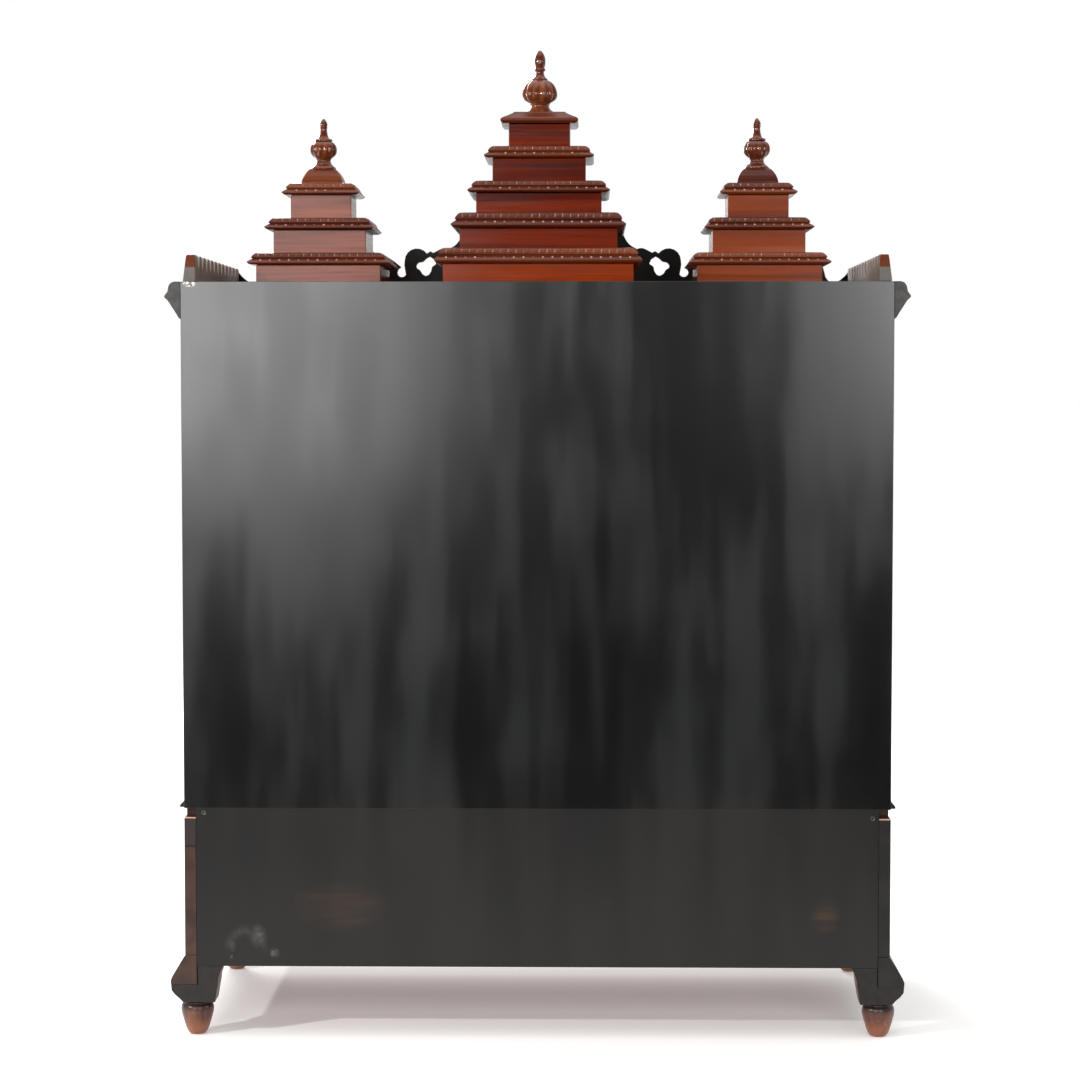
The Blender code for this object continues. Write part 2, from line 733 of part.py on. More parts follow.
def add_roof(name, x, box_width, tiers):
    """Stacked boxes, each smaller, with a moulded cornice board on each but the last."""
    for tier in range(tiers):
        half = (box_width - tier * TIER_STEP) / 2
        top = TOP_Z + FIRST_BOX_HEIGHT + tier * TIER_PITCH
        thick = WIDE_CORNICE_THICK if 2 * half > WIDE_CORNICE_FROM else NARROW_CORNICE_THICK
        if tier:
            below = WIDE_CORNICE_THICK if 2 * half + TIER_STEP > WIDE_CORNICE_FROM else NARROW_CORNICE_THICK
            bottom = top - TIER_PITCH + below
        else:
            bottom = TOP_Z + JOINT_GAP
        hollow = half - BOX_WALL
        ring = [(hollow, top), (half, top), (half, bottom), (hollow, bottom), (hollow, top)]
        add_placed(f"{name}_box_{tier + 1}", square_mesh(ring), (x, MID_Y, 0), "mahogany")
        if tier == tiers - 1 and name == "centre_roof":
            continue
        low = top + JOINT_GAP
        rise = thick - 2 * JOINT_GAP
        shape = (
            (0.0, 1.0),
            (-0.35, 1.0),
            (0.12, 0.86),
            (0.60, 0.60),
            (0.78, 0.46),
            (1.0, 0.36),
            (1.0, 0.26),
            (0.80, 0.16),
            (0.42, 0.0),
            (0.0, 0.0),
        )
        cornice = [(half + out * CORNICE_OUT, low + share * rise) for out, share in shape[1:-1]]
        cornice = [(0, low + rise)] + cornice + [(0, low)]
        add_placed(f"{name}_cornice_{tier + 1}", square_mesh(cornice), (x, MID_Y, 0), "carved_wood")
    return top


def add_roofs():
    top = add_roof("centre_roof", 0, CENTRE_BOX_WIDTH, CENTRE_TIERS)
    half = (CENTRE_BOX_WIDTH - (CENTRE_TIERS - 1) * TIER_STEP) / 2
    low = top + JOINT_GAP
    rise = CENTRE_CAP_HEIGHT - JOINT_GAP
    shape = ((-0.65, 1.0), (-0.40, 0.86), (0.30, 0.62), (0.78, 0.48), (1.0, 0.36), (1.0, 0.20), (0.72, 0.0))
    cap = [(0, low + rise)] + [(half + out * CORNICE_OUT, low + share * rise) for out, share in shape]
    add_placed("centre_roof_cap", square_mesh(cap + [(0, low)]), (0, MID_Y, 0), "carved_wood")
    z = top + CENTRE_CAP_HEIGHT + JOINT_GAP
    size = (CENTRE_FINIAL_HEIGHT, CENTRE_FINIAL_RADIUS)
    add_finial("centre_finial", 0, z, *size, CENTRE_FINIAL_SHAPE, CENTRE_BULB)

    cushion = ((0.60, 1.0), (0.72, 0.86), (0.82, 0.68), (0.90, 0.50), (0.97, 0.25), (1.0, 0.08), (1.0, 0.0))
    size = (SIDE_FINIAL_HEIGHT, SIDE_FINIAL_RADIUS)
    for side_name, side in SIDES:
        x = side * (HALF_WIDTH - SIDE_ROOF_MARGIN)
        top = add_roof(f"{side_name}_roof", x, SIDE_BOX_WIDTH, SIDE_TIERS)
        low = top + NARROW_CORNICE_THICK
        rise = SIDE_CAP_HEIGHT
        half = SIDE_CAP_WIDTH / 2
        cap = [(0, low + rise)] + [(half * share, low + height * rise) for share, height in cushion]
        add_placed(f"{side_name}_roof_cap", square_mesh(cap + [(0, low)]), (x, MID_Y, 0), "carved_wood")
        z = low + SIDE_CAP_HEIGHT + JOINT_GAP
        add_finial(f"{side_name}_finial", x, z, *size, SIDE_FINIAL_SHAPE, SIDE_BULB)


clear_scene()
collections = {
    "pieces": new_collection("altar_cabinet"),
    "cutters": new_collection("cutters", hidden=True),
}
finishes = {
    "mahogany": new_material("mahogany", "#7a2a14", 0.35),
    "carved_wood": new_material("carved_wood", "#5c281c", 0.40),
    "side_wood": new_material("side_wood", "#5a3a30", 0.45),
    "foot_wood": new_material("foot_wood", "#6a4130", 0.40),
    "black_paint": new_material("black_paint", "#2c2b29", 0.35),
}
add_feet()
add_base()
add_upper()
add_front()
add_side_crestings()
add_front_crest()
add_roofs()
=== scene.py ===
import math

import bmesh
import bpy
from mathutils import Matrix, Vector


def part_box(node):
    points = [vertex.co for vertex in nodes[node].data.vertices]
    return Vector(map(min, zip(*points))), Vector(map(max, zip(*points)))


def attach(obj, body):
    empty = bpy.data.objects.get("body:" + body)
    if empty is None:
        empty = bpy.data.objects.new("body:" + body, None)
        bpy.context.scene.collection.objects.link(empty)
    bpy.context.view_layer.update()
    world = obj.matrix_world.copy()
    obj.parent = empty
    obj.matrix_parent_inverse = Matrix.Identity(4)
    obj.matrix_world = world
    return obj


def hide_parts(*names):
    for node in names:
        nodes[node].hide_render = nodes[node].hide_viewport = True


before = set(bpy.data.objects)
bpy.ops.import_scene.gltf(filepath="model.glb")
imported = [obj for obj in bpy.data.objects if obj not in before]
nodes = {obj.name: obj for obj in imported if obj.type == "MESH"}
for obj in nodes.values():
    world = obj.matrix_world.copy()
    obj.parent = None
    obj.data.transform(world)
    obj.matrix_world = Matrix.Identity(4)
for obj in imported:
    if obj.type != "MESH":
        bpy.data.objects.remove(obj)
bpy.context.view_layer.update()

# Camera: the photograph's own view, from behind the cabinet
LENS = 92.0
CAMERA_X = -0.090
CAMERA_HEIGHT = 1.1125
CAMERA_DISTANCE = 4.65
PITCH_DOWN = math.radians(3.2)
YAW = math.radians(1.04)

# Floor: it ends short of the camera, so that the glossy back mirrors little of it
FLOOR_SIZE = 60
FLOOR_END_Y = 1.6
FLOOR_GLOW = 0.21

# Light of the room round the object: behind the camera, beyond the object and overhead
DIM_WALL = 0.03
BRIGHT_WALL = 0.62
CEILING = 1.6

# Softboxes: name, place, aimed at, size and watts
SOFTBOXES = (
    ("key_softbox", (1.62, 5.3, 1.88), (0.2, 0.3, 1.0), (2.2, 2.2), 92),
    ("fill_softbox", (-1.90, 5.3, 1.9), (-0.2, 0.3, 1.0), (1.5, 1.7), 76),
    ("front_softbox", (1.8, -4.6, 2.6), (0.0, 0.0, 0.8), (2.0, 2.0), 190),
)

# Lamps: name, place, watts and radius; the sparks give the polished finials their glints
LAMPS = (
    ("left_lamp", (3.6, 2.7, 2.1), 420, 0.09),
    ("right_lamp", (-3.6, 2.7, 2.1), 25, 0.09),
    ("left_spark", (0.66, 5.2, 2.75), 14, 0.05),
    ("right_spark", (-0.60, 5.2, 2.70), 14, 0.05),
)

# Levels and planes read from the frame
BACK_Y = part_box("back_panel")[1].y
PANEL_FRONT_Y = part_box("back_panel")[0].y
CREST_BACK_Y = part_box("front_crest_board")[1].y
CRESTING_INNER_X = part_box("side_cresting_left")[0].x
CRESTING_OUTER_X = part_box("side_cresting_left")[1].x
CRESTING_TOP_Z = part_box("side_cresting_left")[1].z
CRESTING_FOOT_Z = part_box("roof_board")[1].z
BUN_TOP_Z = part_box("bun_foot_back_left")[1].z
BASE_TOP_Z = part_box("base_side_left")[1].z

# The comb boards' outer face leans in by this share of its rise
CRESTING_LEAN = 0.1333

# Edges rounded by sandpaper, in metres
BOARD_ROUNDING = 0.0011
MOULDING_ROUNDING = 0.0006
EDGE_ANGLE = math.radians(32)

# The solids come as loose triangles: they are joined at this distance, and flat ones made one face
WELD_DISTANCE = 0.00002
FLAT_ANGLE = math.radians(0.5)

# Carving on the cornice boards
CORNICE_OUT = 0.0145
TABLET_PITCH = 0.0134
TABLET_WIDTH = 0.0106
TABLET_RAISED = 0.0013
TABLET_RIM = 0.0011
BEAD_PITCH = 0.0167
BEAD_RADIUS = 0.0021
CORNICE_SHAPE = (
    (0.55, 0.0),
    (0.80, 0.05),
    (1.0, 0.16),
    (1.0, 0.24),
    (0.74, 0.36),
    (0.43, 0.47),
    (0.40, 0.51),
    (0.52, 0.55),
    (0.54, 0.61),
    (0.40, 0.75),
    (0.12, 0.92),
    (0.02, 0.96),
    (-0.35, 1.0),
)
TABLET_BAND = ((0.54, 0.60), (0.12, 0.92))
BEAD_BAND = ((1.0, 0.24), (0.43, 0.47))

# Turned and lobed pieces
TURNED_STEPS = 32
TIP_RADIUS = 0.0003
RING_TOLERANCE = 0.00002
TURNED_SHARP_ANGLE = math.radians(40)
FINIAL_SHARP_ANGLE = math.radians(50)
LOBES = 12
LOBE_STEPS = 4
LOBE_DEPTH = 0.15
LOBE_SHOULDER = 0.30
COLUMN_BLOCK_HEIGHT = 0.070
COLUMN_BLOCK_EDGE = 0.0025
COLUMN_TURNED_SHARE = 0.913

# Countersunk screws in the base panel, in metres
SCREW_RADIUS = 0.0036
SCREW_LENGTH = 0.0016
SCREW_RIM = 0.0007
SCREW_DISH = 0.0004
SCREW_SHOULDER = 0.0012
SCREW_RECESS = 0.0008

# Marks on the back: the middle, across and up, and half the size, in metres
SCREW_PLACES = ((0.5667, 0.3874), (-0.5690, 0.3803))
CHIPPED_CORNER = ((0.5850, 1.2839), (0.013, 0.006))
RUBBED_PATCHES = (((0.335, 0.228), (0.080, 0.042)), ((-0.490, 0.214), (0.026, 0.030)))
SCUFF_ARCH = ((0.4960, 0.1520), (0.040, 0.044))
SCUFF_RUB = ((0.4760, 0.1765), (0.019, 0.025))
SCUFF_FOOT = ((0.521, 0.141), (0.005, 0.007))
SCUFF_LEG = ((0.519, 0.158), (0.008, 0.016))
SCUFF_TAIL = ((0.447, 0.146), (0.010, 0.012))
SEAM_Z = 0.3300
SEAM_HALF_WIDTH = 0.0018

# Finishes that lie on one face only: full down to the first depth under it, gone at the second
SKIN_FULL = 0.0008
SKIN_END = 0.0016

# What was sprayed or brushed on the rear fades out over this length
REAR_BLEND = 0.0010

# Patterns, in patches to a metre: 70 of them are 14 mm each
WIPED_CLOUDS = 5.5
SIDE_BLOTCHES = 28.0
SCUFF_HAZE = 45.0
# The pale carving edges' mottle: partly rubbed wood, partly painted highlight
EDGE_RUB_AND_HIGHLIGHT = 60.0
COMB_FILM = 60.0
SPRAY_FILM = 70.0
FOOT_SCUFFS = 90.0
CHIP_EDGE = 260.0
ZINC_FILM = 900.0

# Wiping strokes and rubbed bands, in patches to a metre along X, Y and Z
BROAD_STROKES = (11.0, 1.0, 1.7)
NARROW_STROKES = (34.0, 1.0, 5.0)
RUBBED_BANDS = (9.0, 1.0, 90.0)

# Painted panels: the lowest and highest roughness, and the specular level
TALL_PANEL_GLOSS = (0.180, 0.268, 0.80)
BASE_PANEL_GLOSS = (0.36, 0.42, 0.34)
NICHE_ROUGHNESS = 0.42

# Dust specks: one at most in each cell, in metres
SPECK_CELL_TALL_PANEL = 0.09
SPECK_RADIUS_TALL_PANEL = 0.0011
SPECK_CELL_BASE_PANEL = 0.07
SPECK_RADIUS_BASE_PANEL = 0.0010

# Grain, in streaks to a metre along X, Y and Z: 150 mm along the board and 4.5 mm across it, coarser
# than real pores so that it shows in the render
GRAIN_ACROSS = 1 / 0.0045
GRAIN_ALONG = 1 / 0.150
GRAIN_X = (GRAIN_ALONG, GRAIN_ACROSS, GRAIN_ACROSS)
GRAIN_Y = (GRAIN_ACROSS, GRAIN_ALONG, GRAIN_ACROSS)
GRAIN_UPRIGHT = (GRAIN_ACROSS, GRAIN_ACROSS, GRAIN_ALONG)
GRAIN_ROUND = (GRAIN_ALONG, GRAIN_ALONG, GRAIN_ACROSS)

# Stains: the dark, middle and light tone of each wood
DEEP_RED = ("#3c0a02", "#601604", "#7e2808")
ROOF_BROWN = ("#632812", "#81391d", "#974828")
# The lowest centre box gets this lighter copy of the deep red: painted light, for the light it catches
# more than the boxes above
PAINTED_LIT_RED = ("#661c05", "#90330a", "#a24312")
NICHE_RED = ("#521f12", "#6b2a16", "#7a351d")
SIDE_BROWN = ("#3e2016", "#57291b", "#6c3726")
CARVED_MAROON = ("#3e1306", "#5e230c", "#793918")
POLISHED_ORANGE = ("#49190a", "#6c3016", "#844424")
FOOT_BROWN = ("#30180f", "#572e20", "#78462f")

# Sprayed and brushed films: the dark and the light tone of each
GREY_BLACK_FILM = ("#1f1e1d", "#3b3835")
BLOCK_FILM = ("#120e0b", "#1e1612")
# The fret board's rear film is near black: partly black paint, partly painted shade for the shade it
# stands in
FRET_FILM_AND_SHADE = ("#0d0907", "#16100c")
EDGE_FILM = ("#141312", "#26231f")
NECK_FILM = ("#2c150e", "#3f2218")
LEFT_EDGE_FILM = ("#2b1811", "#3f281d")
# The right rear edges are near black: partly black paint, partly painted shade on the darker right
RIGHT_EDGE_FILM_AND_SHADE = ("#0e0d0c", "#1a1714")
COMB_INNER_FILM = ("#544942", "#86766b")
COMB_END_FILM = ("#5f5a56", "#716b66")


# Colours, nodes and materials


def linear(hex_colour):
    """An sRGB hex colour as linear RGBA."""
    channels = [int(hex_colour[i : i + 2], 16) / 255 for i in (1, 3, 5)]
    return [c / 12.92 if c <= 0.04045 else ((c + 0.055) / 1.055) ** 2.4 for c in channels] + [1]


def add_node(tree, kind, inputs=None, **settings):
    """Adds a node with its settings; an input is a plain value or another node's output."""
    node = tree.nodes.new(kind)
    for name, value in settings.items():
        setattr(node, name, value)
    for socket, value in (inputs or {}).items():
        if isinstance(value, bpy.types.NodeSocket):
            tree.links.new(value, node.inputs[socket])
        else:
            node.inputs[socket].default_value = value
    return node


def new_material(name, roughness, specular):
    """A material with its shader's plain settings, and its node tree and shader for the patterns."""
    material = bpy.data.materials.new(name)
    material.use_nodes = True
    shader = material.node_tree.nodes["Principled BSDF"]
    shader.inputs["Roughness"].default_value = roughness
    shader.inputs["Specular IOR Level"].default_value = specular
    return material, material.node_tree, shader


def colour_mix(tree, factor, below, above):
    """The colour output of a mix between two colours or colour outputs."""
    mix = add_node(tree, "ShaderNodeMix", {0: factor, 6: below, 7: above}, data_type="RGBA")
    return mix.outputs[2]


def step(tree, value, start, end, low=0.0, high=1.0):
    """A value carried smoothly from low to high as the input goes from start to end."""
    inputs = {"Value": value, "From Min": start, "From Max": end, "To Min": low, "To Max": high}
    return add_node(tree, "ShaderNodeMapRange", inputs, interpolation_type="SMOOTHSTEP").outputs["Result"]


def product(tree, first, second):
    """Two masks multiplied, or one mask weakened by a number."""
    return add_node(tree, "ShaderNodeMath", {0: first, 1: second}, operation="MULTIPLY").outputs[0]


def greater_of(tree, first, second):
    """Two masks laid over each other."""
    return add_node(tree, "ShaderNodeMath", {0: first, 1: second}, operation="MAXIMUM").outputs[0]


def object_place(tree):
    """The Object coordinates and their X, Y and Z parts."""
    coordinates = add_node(tree, "ShaderNodeTexCoord").outputs["Object"]
    parts = add_node(tree, "ShaderNodeSeparateXYZ", {"Vector": coordinates})
    return coordinates, parts.outputs["X"], parts.outputs["Y"], parts.outputs["Z"]


def wood_colour(tree, coordinates, grain, stain):
    """Stained wood: long streaks of growth rings, a slow change of tone and short dark pores."""
    dark, middle, light = (linear(shade) for shade in stain)
    along = add_node(tree, "ShaderNodeMapping", {"Vector": coordinates, "Scale": grain})
    streak_inputs = {"Vector": along.outputs[0], "Scale": 1.0, "Detail": 4.0}
    streak_inputs.update({"Roughness": 0.58, "Distortion": 0.4})
    streaks = add_node(tree, "ShaderNodeTexNoise", streak_inputs).outputs["Fac"]
    tone_inputs = {"Vector": along.outputs[0], "Scale": 0.14, "Detail": 2.0, "Distortion": 0.8}
    tone = add_node(tree, "ShaderNodeTexNoise", tone_inputs).outputs["Fac"]
    pore_inputs = {"Vector": along.outputs[0], "Scale": 4.0, "Detail": 1.0}
    pores = add_node(tree, "ShaderNodeTexNoise", pore_inputs).outputs["Fac"]
    colour = colour_mix(tree, step(tree, streaks, 0.30, 0.70), dark, middle)
    colour = colour_mix(tree, step(tree, tone, 0.38, 0.72), colour, light)
    pore_mask = product(tree, step(tree, pores, 0.62, 0.70), 0.35)
    return colour_mix(tree, pore_mask, colour, dark), streaks


def film_colour(tree, factor, film):
    """A thin film's colour, from its dark to its light tone."""
    return colour_mix(tree, factor, linear(film[0]), linear(film[1]))


def rear_face(tree, y, back_y, depth):
    """A mask of what lies within a depth of a board's rear plane."""
    return step(tree, y, back_y - depth, back_y - depth + REAR_BLEND)


def finish_wood(tree, shader, colour, streaks):
    """Lays the colour on the shader, with a sheen and a low relief that follow the grain."""
    roughness = shader.inputs["Roughness"].default_value
    tree.links.new(colour, shader.inputs["Base Color"])
    sheen = step(tree, streaks, 0.3, 0.7, roughness + 0.05, roughness - 0.04)
    tree.links.new(sheen, shader.inputs["Roughness"])
    relief = add_node(tree, "ShaderNodeBump", {"Height": streaks, "Strength": 0.10, "Distance": 0.0004})
    tree.links.new(relief.outputs["Normal"], shader.inputs["Normal"])


def lacquered_mahogany(name, grain, stain):
    """Mahogany stained red under sprayed gloss lacquer: deep colour, clear reflections, fine grain."""
    material, tree, shader = new_material(name, 0.15, 0.28)
    colour, streaks = wood_colour(tree, object_place(tree)[0], grain, stain)
    finish_wood(tree, shader, colour, streaks)
    return material


def carved_mahogany():
    """Carved mahogany stained maroon under satin lacquer: dull flats, a soft shine on the rounds."""
    material, tree, shader = new_material("carved_maroon_mahogany", 0.28, 0.28)
    colour, streaks = wood_colour(tree, object_place(tree)[0], GRAIN_ROUND, CARVED_MAROON)
    finish_wood(tree, shader, colour, streaks)
    return material


def turned_mahogany():
    """Turned mahogany, stained orange-brown and French polished: small bright glints on every round."""
    material, tree, shader = new_material("polished_turned_mahogany", 0.13, 0.60)
    colour, streaks = wood_colour(tree, object_place(tree)[0], GRAIN_UPRIGHT, POLISHED_ORANGE)
    finish_wood(tree, shader, colour, streaks)
    return material


def rubbed_and_highlit_edge():
    """The carving's arrises and beads in pale pinkish wood: partly stain rubbed through, partly a painted
    highlight of the light from above and the left.
    """
    material, tree, shader = new_material("rubbed_and_highlit_mahogany_edge", 0.32, 0.45)
    coordinates = object_place(tree)[0]
    rub_and_highlight_inputs = {"Vector": coordinates, "Scale": EDGE_RUB_AND_HIGHLIGHT, "Detail": 2.0}
    rub_and_highlight = add_node(tree, "ShaderNodeTexNoise", rub_and_highlight_inputs).outputs["Fac"]
    colour = colour_mix(tree, step(tree, rub_and_highlight, 0.40, 0.60), linear("#7a3f2c"), linear("#cf9c84"))
    tree.links.new(colour, shader.inputs["Base Color"])
    tree.links.new(step(tree, rub_and_highlight, 0.3, 0.7, 0.28, 0.40), shader.inputs["Roughness"])
    return material


def stained_side_wood(name, grain):
    """Solid side boards under a thin brown stain: satin, with rear edges brushed brown at the left
    and near black at the right, partly black paint and partly painted shade, a dark seam and a pale
    chipped arris at the top."""
    material, tree, shader = new_material(name, 0.36, 0.35)
    coordinates, x, y, z = object_place(tree)
    colour, streaks = wood_colour(tree, coordinates, grain, SIDE_BROWN)
    blotch_inputs = {"Vector": coordinates, "Scale": SIDE_BLOTCHES, "Detail": 3.0}
    blotches = add_node(tree, "ShaderNodeTexNoise", blotch_inputs).outputs["Fac"]
    blotched = step(tree, blotches, 0.35, 0.65)
    below_seam = step(tree, z, SEAM_Z + 0.001, SEAM_Z - 0.001)
    left = colour_mix(tree, below_seam, linear("#2b2220"), film_colour(tree, blotched, LEFT_EDGE_FILM))
    seam_inputs = {0: z, 1: SEAM_Z, 2: SEAM_HALF_WIDTH}
    seam = add_node(tree, "ShaderNodeMath", seam_inputs, operation="COMPARE").outputs[0]
    left = colour_mix(tree, seam, left, linear("#0d0908"))
    # Painted shade: the right rear edges are darkened, along with their black paint
    right = film_colour(tree, blotched, RIGHT_EDGE_FILM_AND_SHADE)
    edge = colour_mix(tree, step(tree, x, 0.1, -0.1), left, right)
    under_top = step(tree, z, BASE_TOP_Z - 0.0026, BASE_TOP_Z - 0.0014)
    chipped = product(tree, under_top, step(tree, z, BASE_TOP_Z + 0.002, BASE_TOP_Z))
    edge = colour_mix(tree, chipped, edge, linear("#b98f80"))
    rear = rear_face(tree, y, BACK_Y, 0.0022)
    finish_wood(tree, shader, colour_mix(tree, rear, colour, edge), streaks)
    return material


def turned_foot_wood():
    """Turned hardwood stained brown under thin lacquer: painted shadow at the neck under the foot block,
    lighter and warmer towards the sole.
    """
    material, tree, shader = new_material("stained_turned_foot", 0.34, 0.40)
    shader.inputs["Coat Weight"].default_value = 0.15
    shader.inputs["Coat Roughness"].default_value = 0.2
    coordinates, _, _, z = object_place(tree)
    colour, streaks = wood_colour(tree, coordinates, GRAIN_UPRIGHT, FOOT_BROWN)
    # Painted shadow: the neck, under the foot block, is darkened
    neck = step(tree, z, 0.62 * BUN_TOP_Z, 0.86 * BUN_TOP_Z)
    colour = colour_mix(tree, neck, colour, linear("#2a1c17"))
    # Lighter and warmer towards the sole
    paler_towards_sole = step(tree, z, 0.62 * BUN_TOP_Z, 0.15 * BUN_TOP_Z, 0.0, 0.45)
    colour = colour_mix(tree, paler_towards_sole, colour, linear("#a3623f"))
    scuff_inputs = {"Vector": coordinates, "Scale": FOOT_SCUFFS, "Detail": 3.0}
    scuffs = add_node(tree, "ShaderNodeTexNoise", scuff_inputs).outputs["Fac"]
    scuffed = step(tree, scuffs, 0.60, 0.72, 0.0, 0.3)
    finish_wood(tree, shader, colour_mix(tree, scuffed, colour, linear("#a8806c")), streaks)
    return material


def wiped_paint(name, base, wiped, gloss):
    """Black paint sprayed on board and wiped down: a soft gloss that changes in long upright strokes."""
    smoothest, roughest, specular = gloss
    material, tree, shader = new_material(name, smoothest, specular)
    coordinates = object_place(tree)[0]
    broad = add_node(tree, "ShaderNodeMapping", {"Vector": coordinates, "Scale": BROAD_STROKES})
    broad_inputs = {"Vector": broad.outputs[0], "Scale": 1.0, "Detail": 2.5, "Roughness": 0.50}
    strokes = add_node(tree, "ShaderNodeTexNoise", broad_inputs).outputs["Fac"]
    narrow = add_node(tree, "ShaderNodeMapping", {"Vector": coordinates, "Scale": NARROW_STROKES})
    narrow_inputs = {"Vector": narrow.outputs[0], "Scale": 1.0, "Detail": 2.0, "Roughness": 0.5}
    fine = add_node(tree, "ShaderNodeTexNoise", narrow_inputs).outputs["Fac"]
    cloud_inputs = {"Vector": coordinates, "Scale": WIPED_CLOUDS, "Detail": 3.0}
    clouds = add_node(tree, "ShaderNodeTexNoise", cloud_inputs).outputs["Fac"]
    both = add_node(tree, "ShaderNodeMix", {"Factor": 0.20, "A": strokes, "B": fine}).outputs["Result"]
    both = add_node(tree, "ShaderNodeMix", {"Factor": 0.22, "A": both, "B": clouds}).outputs["Result"]
    # The strokes also lighten the colour a little where the paint is rougher: partly uneven wiping,
    # partly a painted sheen along the strokes
    colour = colour_mix(tree, step(tree, both, 0.38, 0.62), linear(base), linear(wiped))
    sheen = step(tree, both, 0.38, 0.64, smoothest, roughest)
    tree.links.new(sheen, shader.inputs["Roughness"])
    return material, tree, shader, colour


def flecks(tree, coordinates, pitch, radius):
    """A mask of a few small round specks, one at most in each cell of the given pitch."""
    cells = add_node(tree, "ShaderNodeTexVoronoi", {"Vector": coordinates, "Scale": 1 / pitch})
    near = step(tree, cells.outputs["Distance"], radius / pitch, 0.6 * radius / pitch)
    chance = add_node(tree, "ShaderNodeSeparateColor", {"Color": cells.outputs["Color"]}).outputs["Red"]
    return product(tree, near, step(tree, chance, 0.80, 0.84))


def ellipse(tree, coordinates, mark, start, end):
    """A mask on the back: one inside the start share of a mark's size, nothing past the end share."""
    place, half_size = mark
    scale = (1 / half_size[0], 0.0, 1 / half_size[1])
    offset = (-place[0] / half_size[0], 0.0, -place[1] / half_size[1])
    moved_inputs = {"Vector": coordinates, "Location": offset, "Scale": scale}
    moved = add_node(tree, "ShaderNodeMapping", moved_inputs)
    distance = add_node(tree, "ShaderNodeVectorMath", {0: moved.outputs[0]}, operation="LENGTH")
    return step(tree, distance.outputs["Value"], end, start)


def inner_face(tree, y):
    """A mask of a back panel's face toward the inside of the cabinet."""
    return step(tree, y, PANEL_FRONT_Y + SKIN_END, PANEL_FRONT_Y + SKIN_FULL)


def back_panel_paint():
    """The tall back panel: strongly wiped glossy black paint with a few dust specks and a chipped
    corner, and satin stained wood on its niche side."""
    # The second tone goes on the rougher strokes: partly uneven wiping, partly painted sheen
    paint = ("wiped_black_paint", "#060606", "#101111")
    material, tree, shader, colour = wiped_paint(*paint, TALL_PANEL_GLOSS)
    coordinates, _, y, _ = object_place(tree)
    specks = flecks(tree, coordinates, SPECK_CELL_TALL_PANEL, SPECK_RADIUS_TALL_PANEL)
    colour = colour_mix(tree, product(tree, specks, 0.8), colour, linear("#8f8a82"))
    broken_inputs = {"Vector": coordinates, "Scale": CHIP_EDGE, "Detail": 2.0}
    broken = add_node(tree, "ShaderNodeTexNoise", broken_inputs).outputs["Fac"]
    corner = ellipse(tree, coordinates, CHIPPED_CORNER, 0.5, 1.0)
    chips = product(tree, corner, step(tree, broken, 0.50, 0.54))
    colour = colour_mix(tree, chips, colour, linear("#f4ece2"))
    niche = wood_colour(tree, coordinates, GRAIN_X, NICHE_RED)[0]
    inner = inner_face(tree, y)
    tree.links.new(colour_mix(tree, inner, colour, niche), shader.inputs["Base Color"])
    painted = shader.inputs["Roughness"].links[0].from_socket
    satin_inputs = {"Factor": inner, "A": painted, "B": NICHE_ROUGHNESS}
    satin = add_node(tree, "ShaderNodeMix", satin_inputs).outputs["Result"]
    tree.links.new(satin, shader.inputs["Roughness"])
    return material


def base_panel_paint():
    """The base's back panel: evener, greyer paint with two rubbed brown patches and low pale scuffs."""
    # The second tone goes on the rougher strokes: partly uneven wiping, partly painted sheen
    paint = ("rubbed_grey_black_paint", "#110f0e", "#181512")
    material, tree, shader, colour = wiped_paint(*paint, BASE_PANEL_GLOSS)
    coordinates, _, y, z = object_place(tree)
    level = add_node(tree, "ShaderNodeMapping", {"Vector": coordinates, "Scale": RUBBED_BANDS})
    band_inputs = {"Vector": level.outputs[0], "Scale": 1.0, "Detail": 3.0}
    bands = add_node(tree, "ShaderNodeTexNoise", band_inputs)
    for mark in RUBBED_PATCHES:
        patch = ellipse(tree, coordinates, mark, 0.2, 1.2)
        rubbed = product(tree, patch, step(tree, bands.outputs["Fac"], 0.40, 0.70, 0.15, 0.50))
        colour = colour_mix(tree, rubbed, colour, linear("#4a3120"))
    haze_inputs = {"Vector": coordinates, "Scale": SCUFF_HAZE, "Detail": 4.0, "Distortion": 1.2}
    haze = add_node(tree, "ShaderNodeTexNoise", haze_inputs).outputs["Fac"]
    around = ellipse(tree, coordinates, SCUFF_ARCH, 0.70, 1.05)
    hollow = step(tree, ellipse(tree, coordinates, SCUFF_ARCH, 0.30, 0.95), 0.85, 0.15)
    middle_z = SCUFF_ARCH[0][1]
    above = step(tree, z, middle_z - 0.02, middle_z + 0.02, 0.0, 0.22)
    faded = product(tree, above, step(tree, haze, 0.30, 0.70))
    arch = product(tree, product(tree, around, hollow), faded)
    rub = ellipse(tree, coordinates, SCUFF_RUB, 0.0, 1.0)
    rub = product(tree, rub, step(tree, haze, 0.30, 0.65, 0.20, 0.70))
    foot = ellipse(tree, coordinates, SCUFF_FOOT, 0.2, 1.0)
    leg = product(tree, ellipse(tree, coordinates, SCUFF_LEG, 0.1, 1.0), 0.5)
    tail = ellipse(tree, coordinates, SCUFF_TAIL, 0.2, 1.0)
    ends = greater_of(tree, greater_of(tree, foot, leg), tail)
    trail = product(tree, ends, step(tree, haze, 0.36, 0.72))
    scuffs = product(tree, greater_of(tree, greater_of(tree, arch, rub), trail), 0.42)
    colour = colour_mix(tree, scuffs, colour, linear("#8f8d88"))
    specks = flecks(tree, coordinates, SPECK_CELL_BASE_PANEL, SPECK_RADIUS_BASE_PANEL)
    colour = colour_mix(tree, product(tree, specks, 0.7), colour, linear("#9c958a"))
    inside = wood_colour(tree, coordinates, GRAIN_X, SIDE_BROWN)[0]
    tree.links.new(colour_mix(tree, inner_face(tree, y), colour, inside), shader.inputs["Base Color"])
    return material


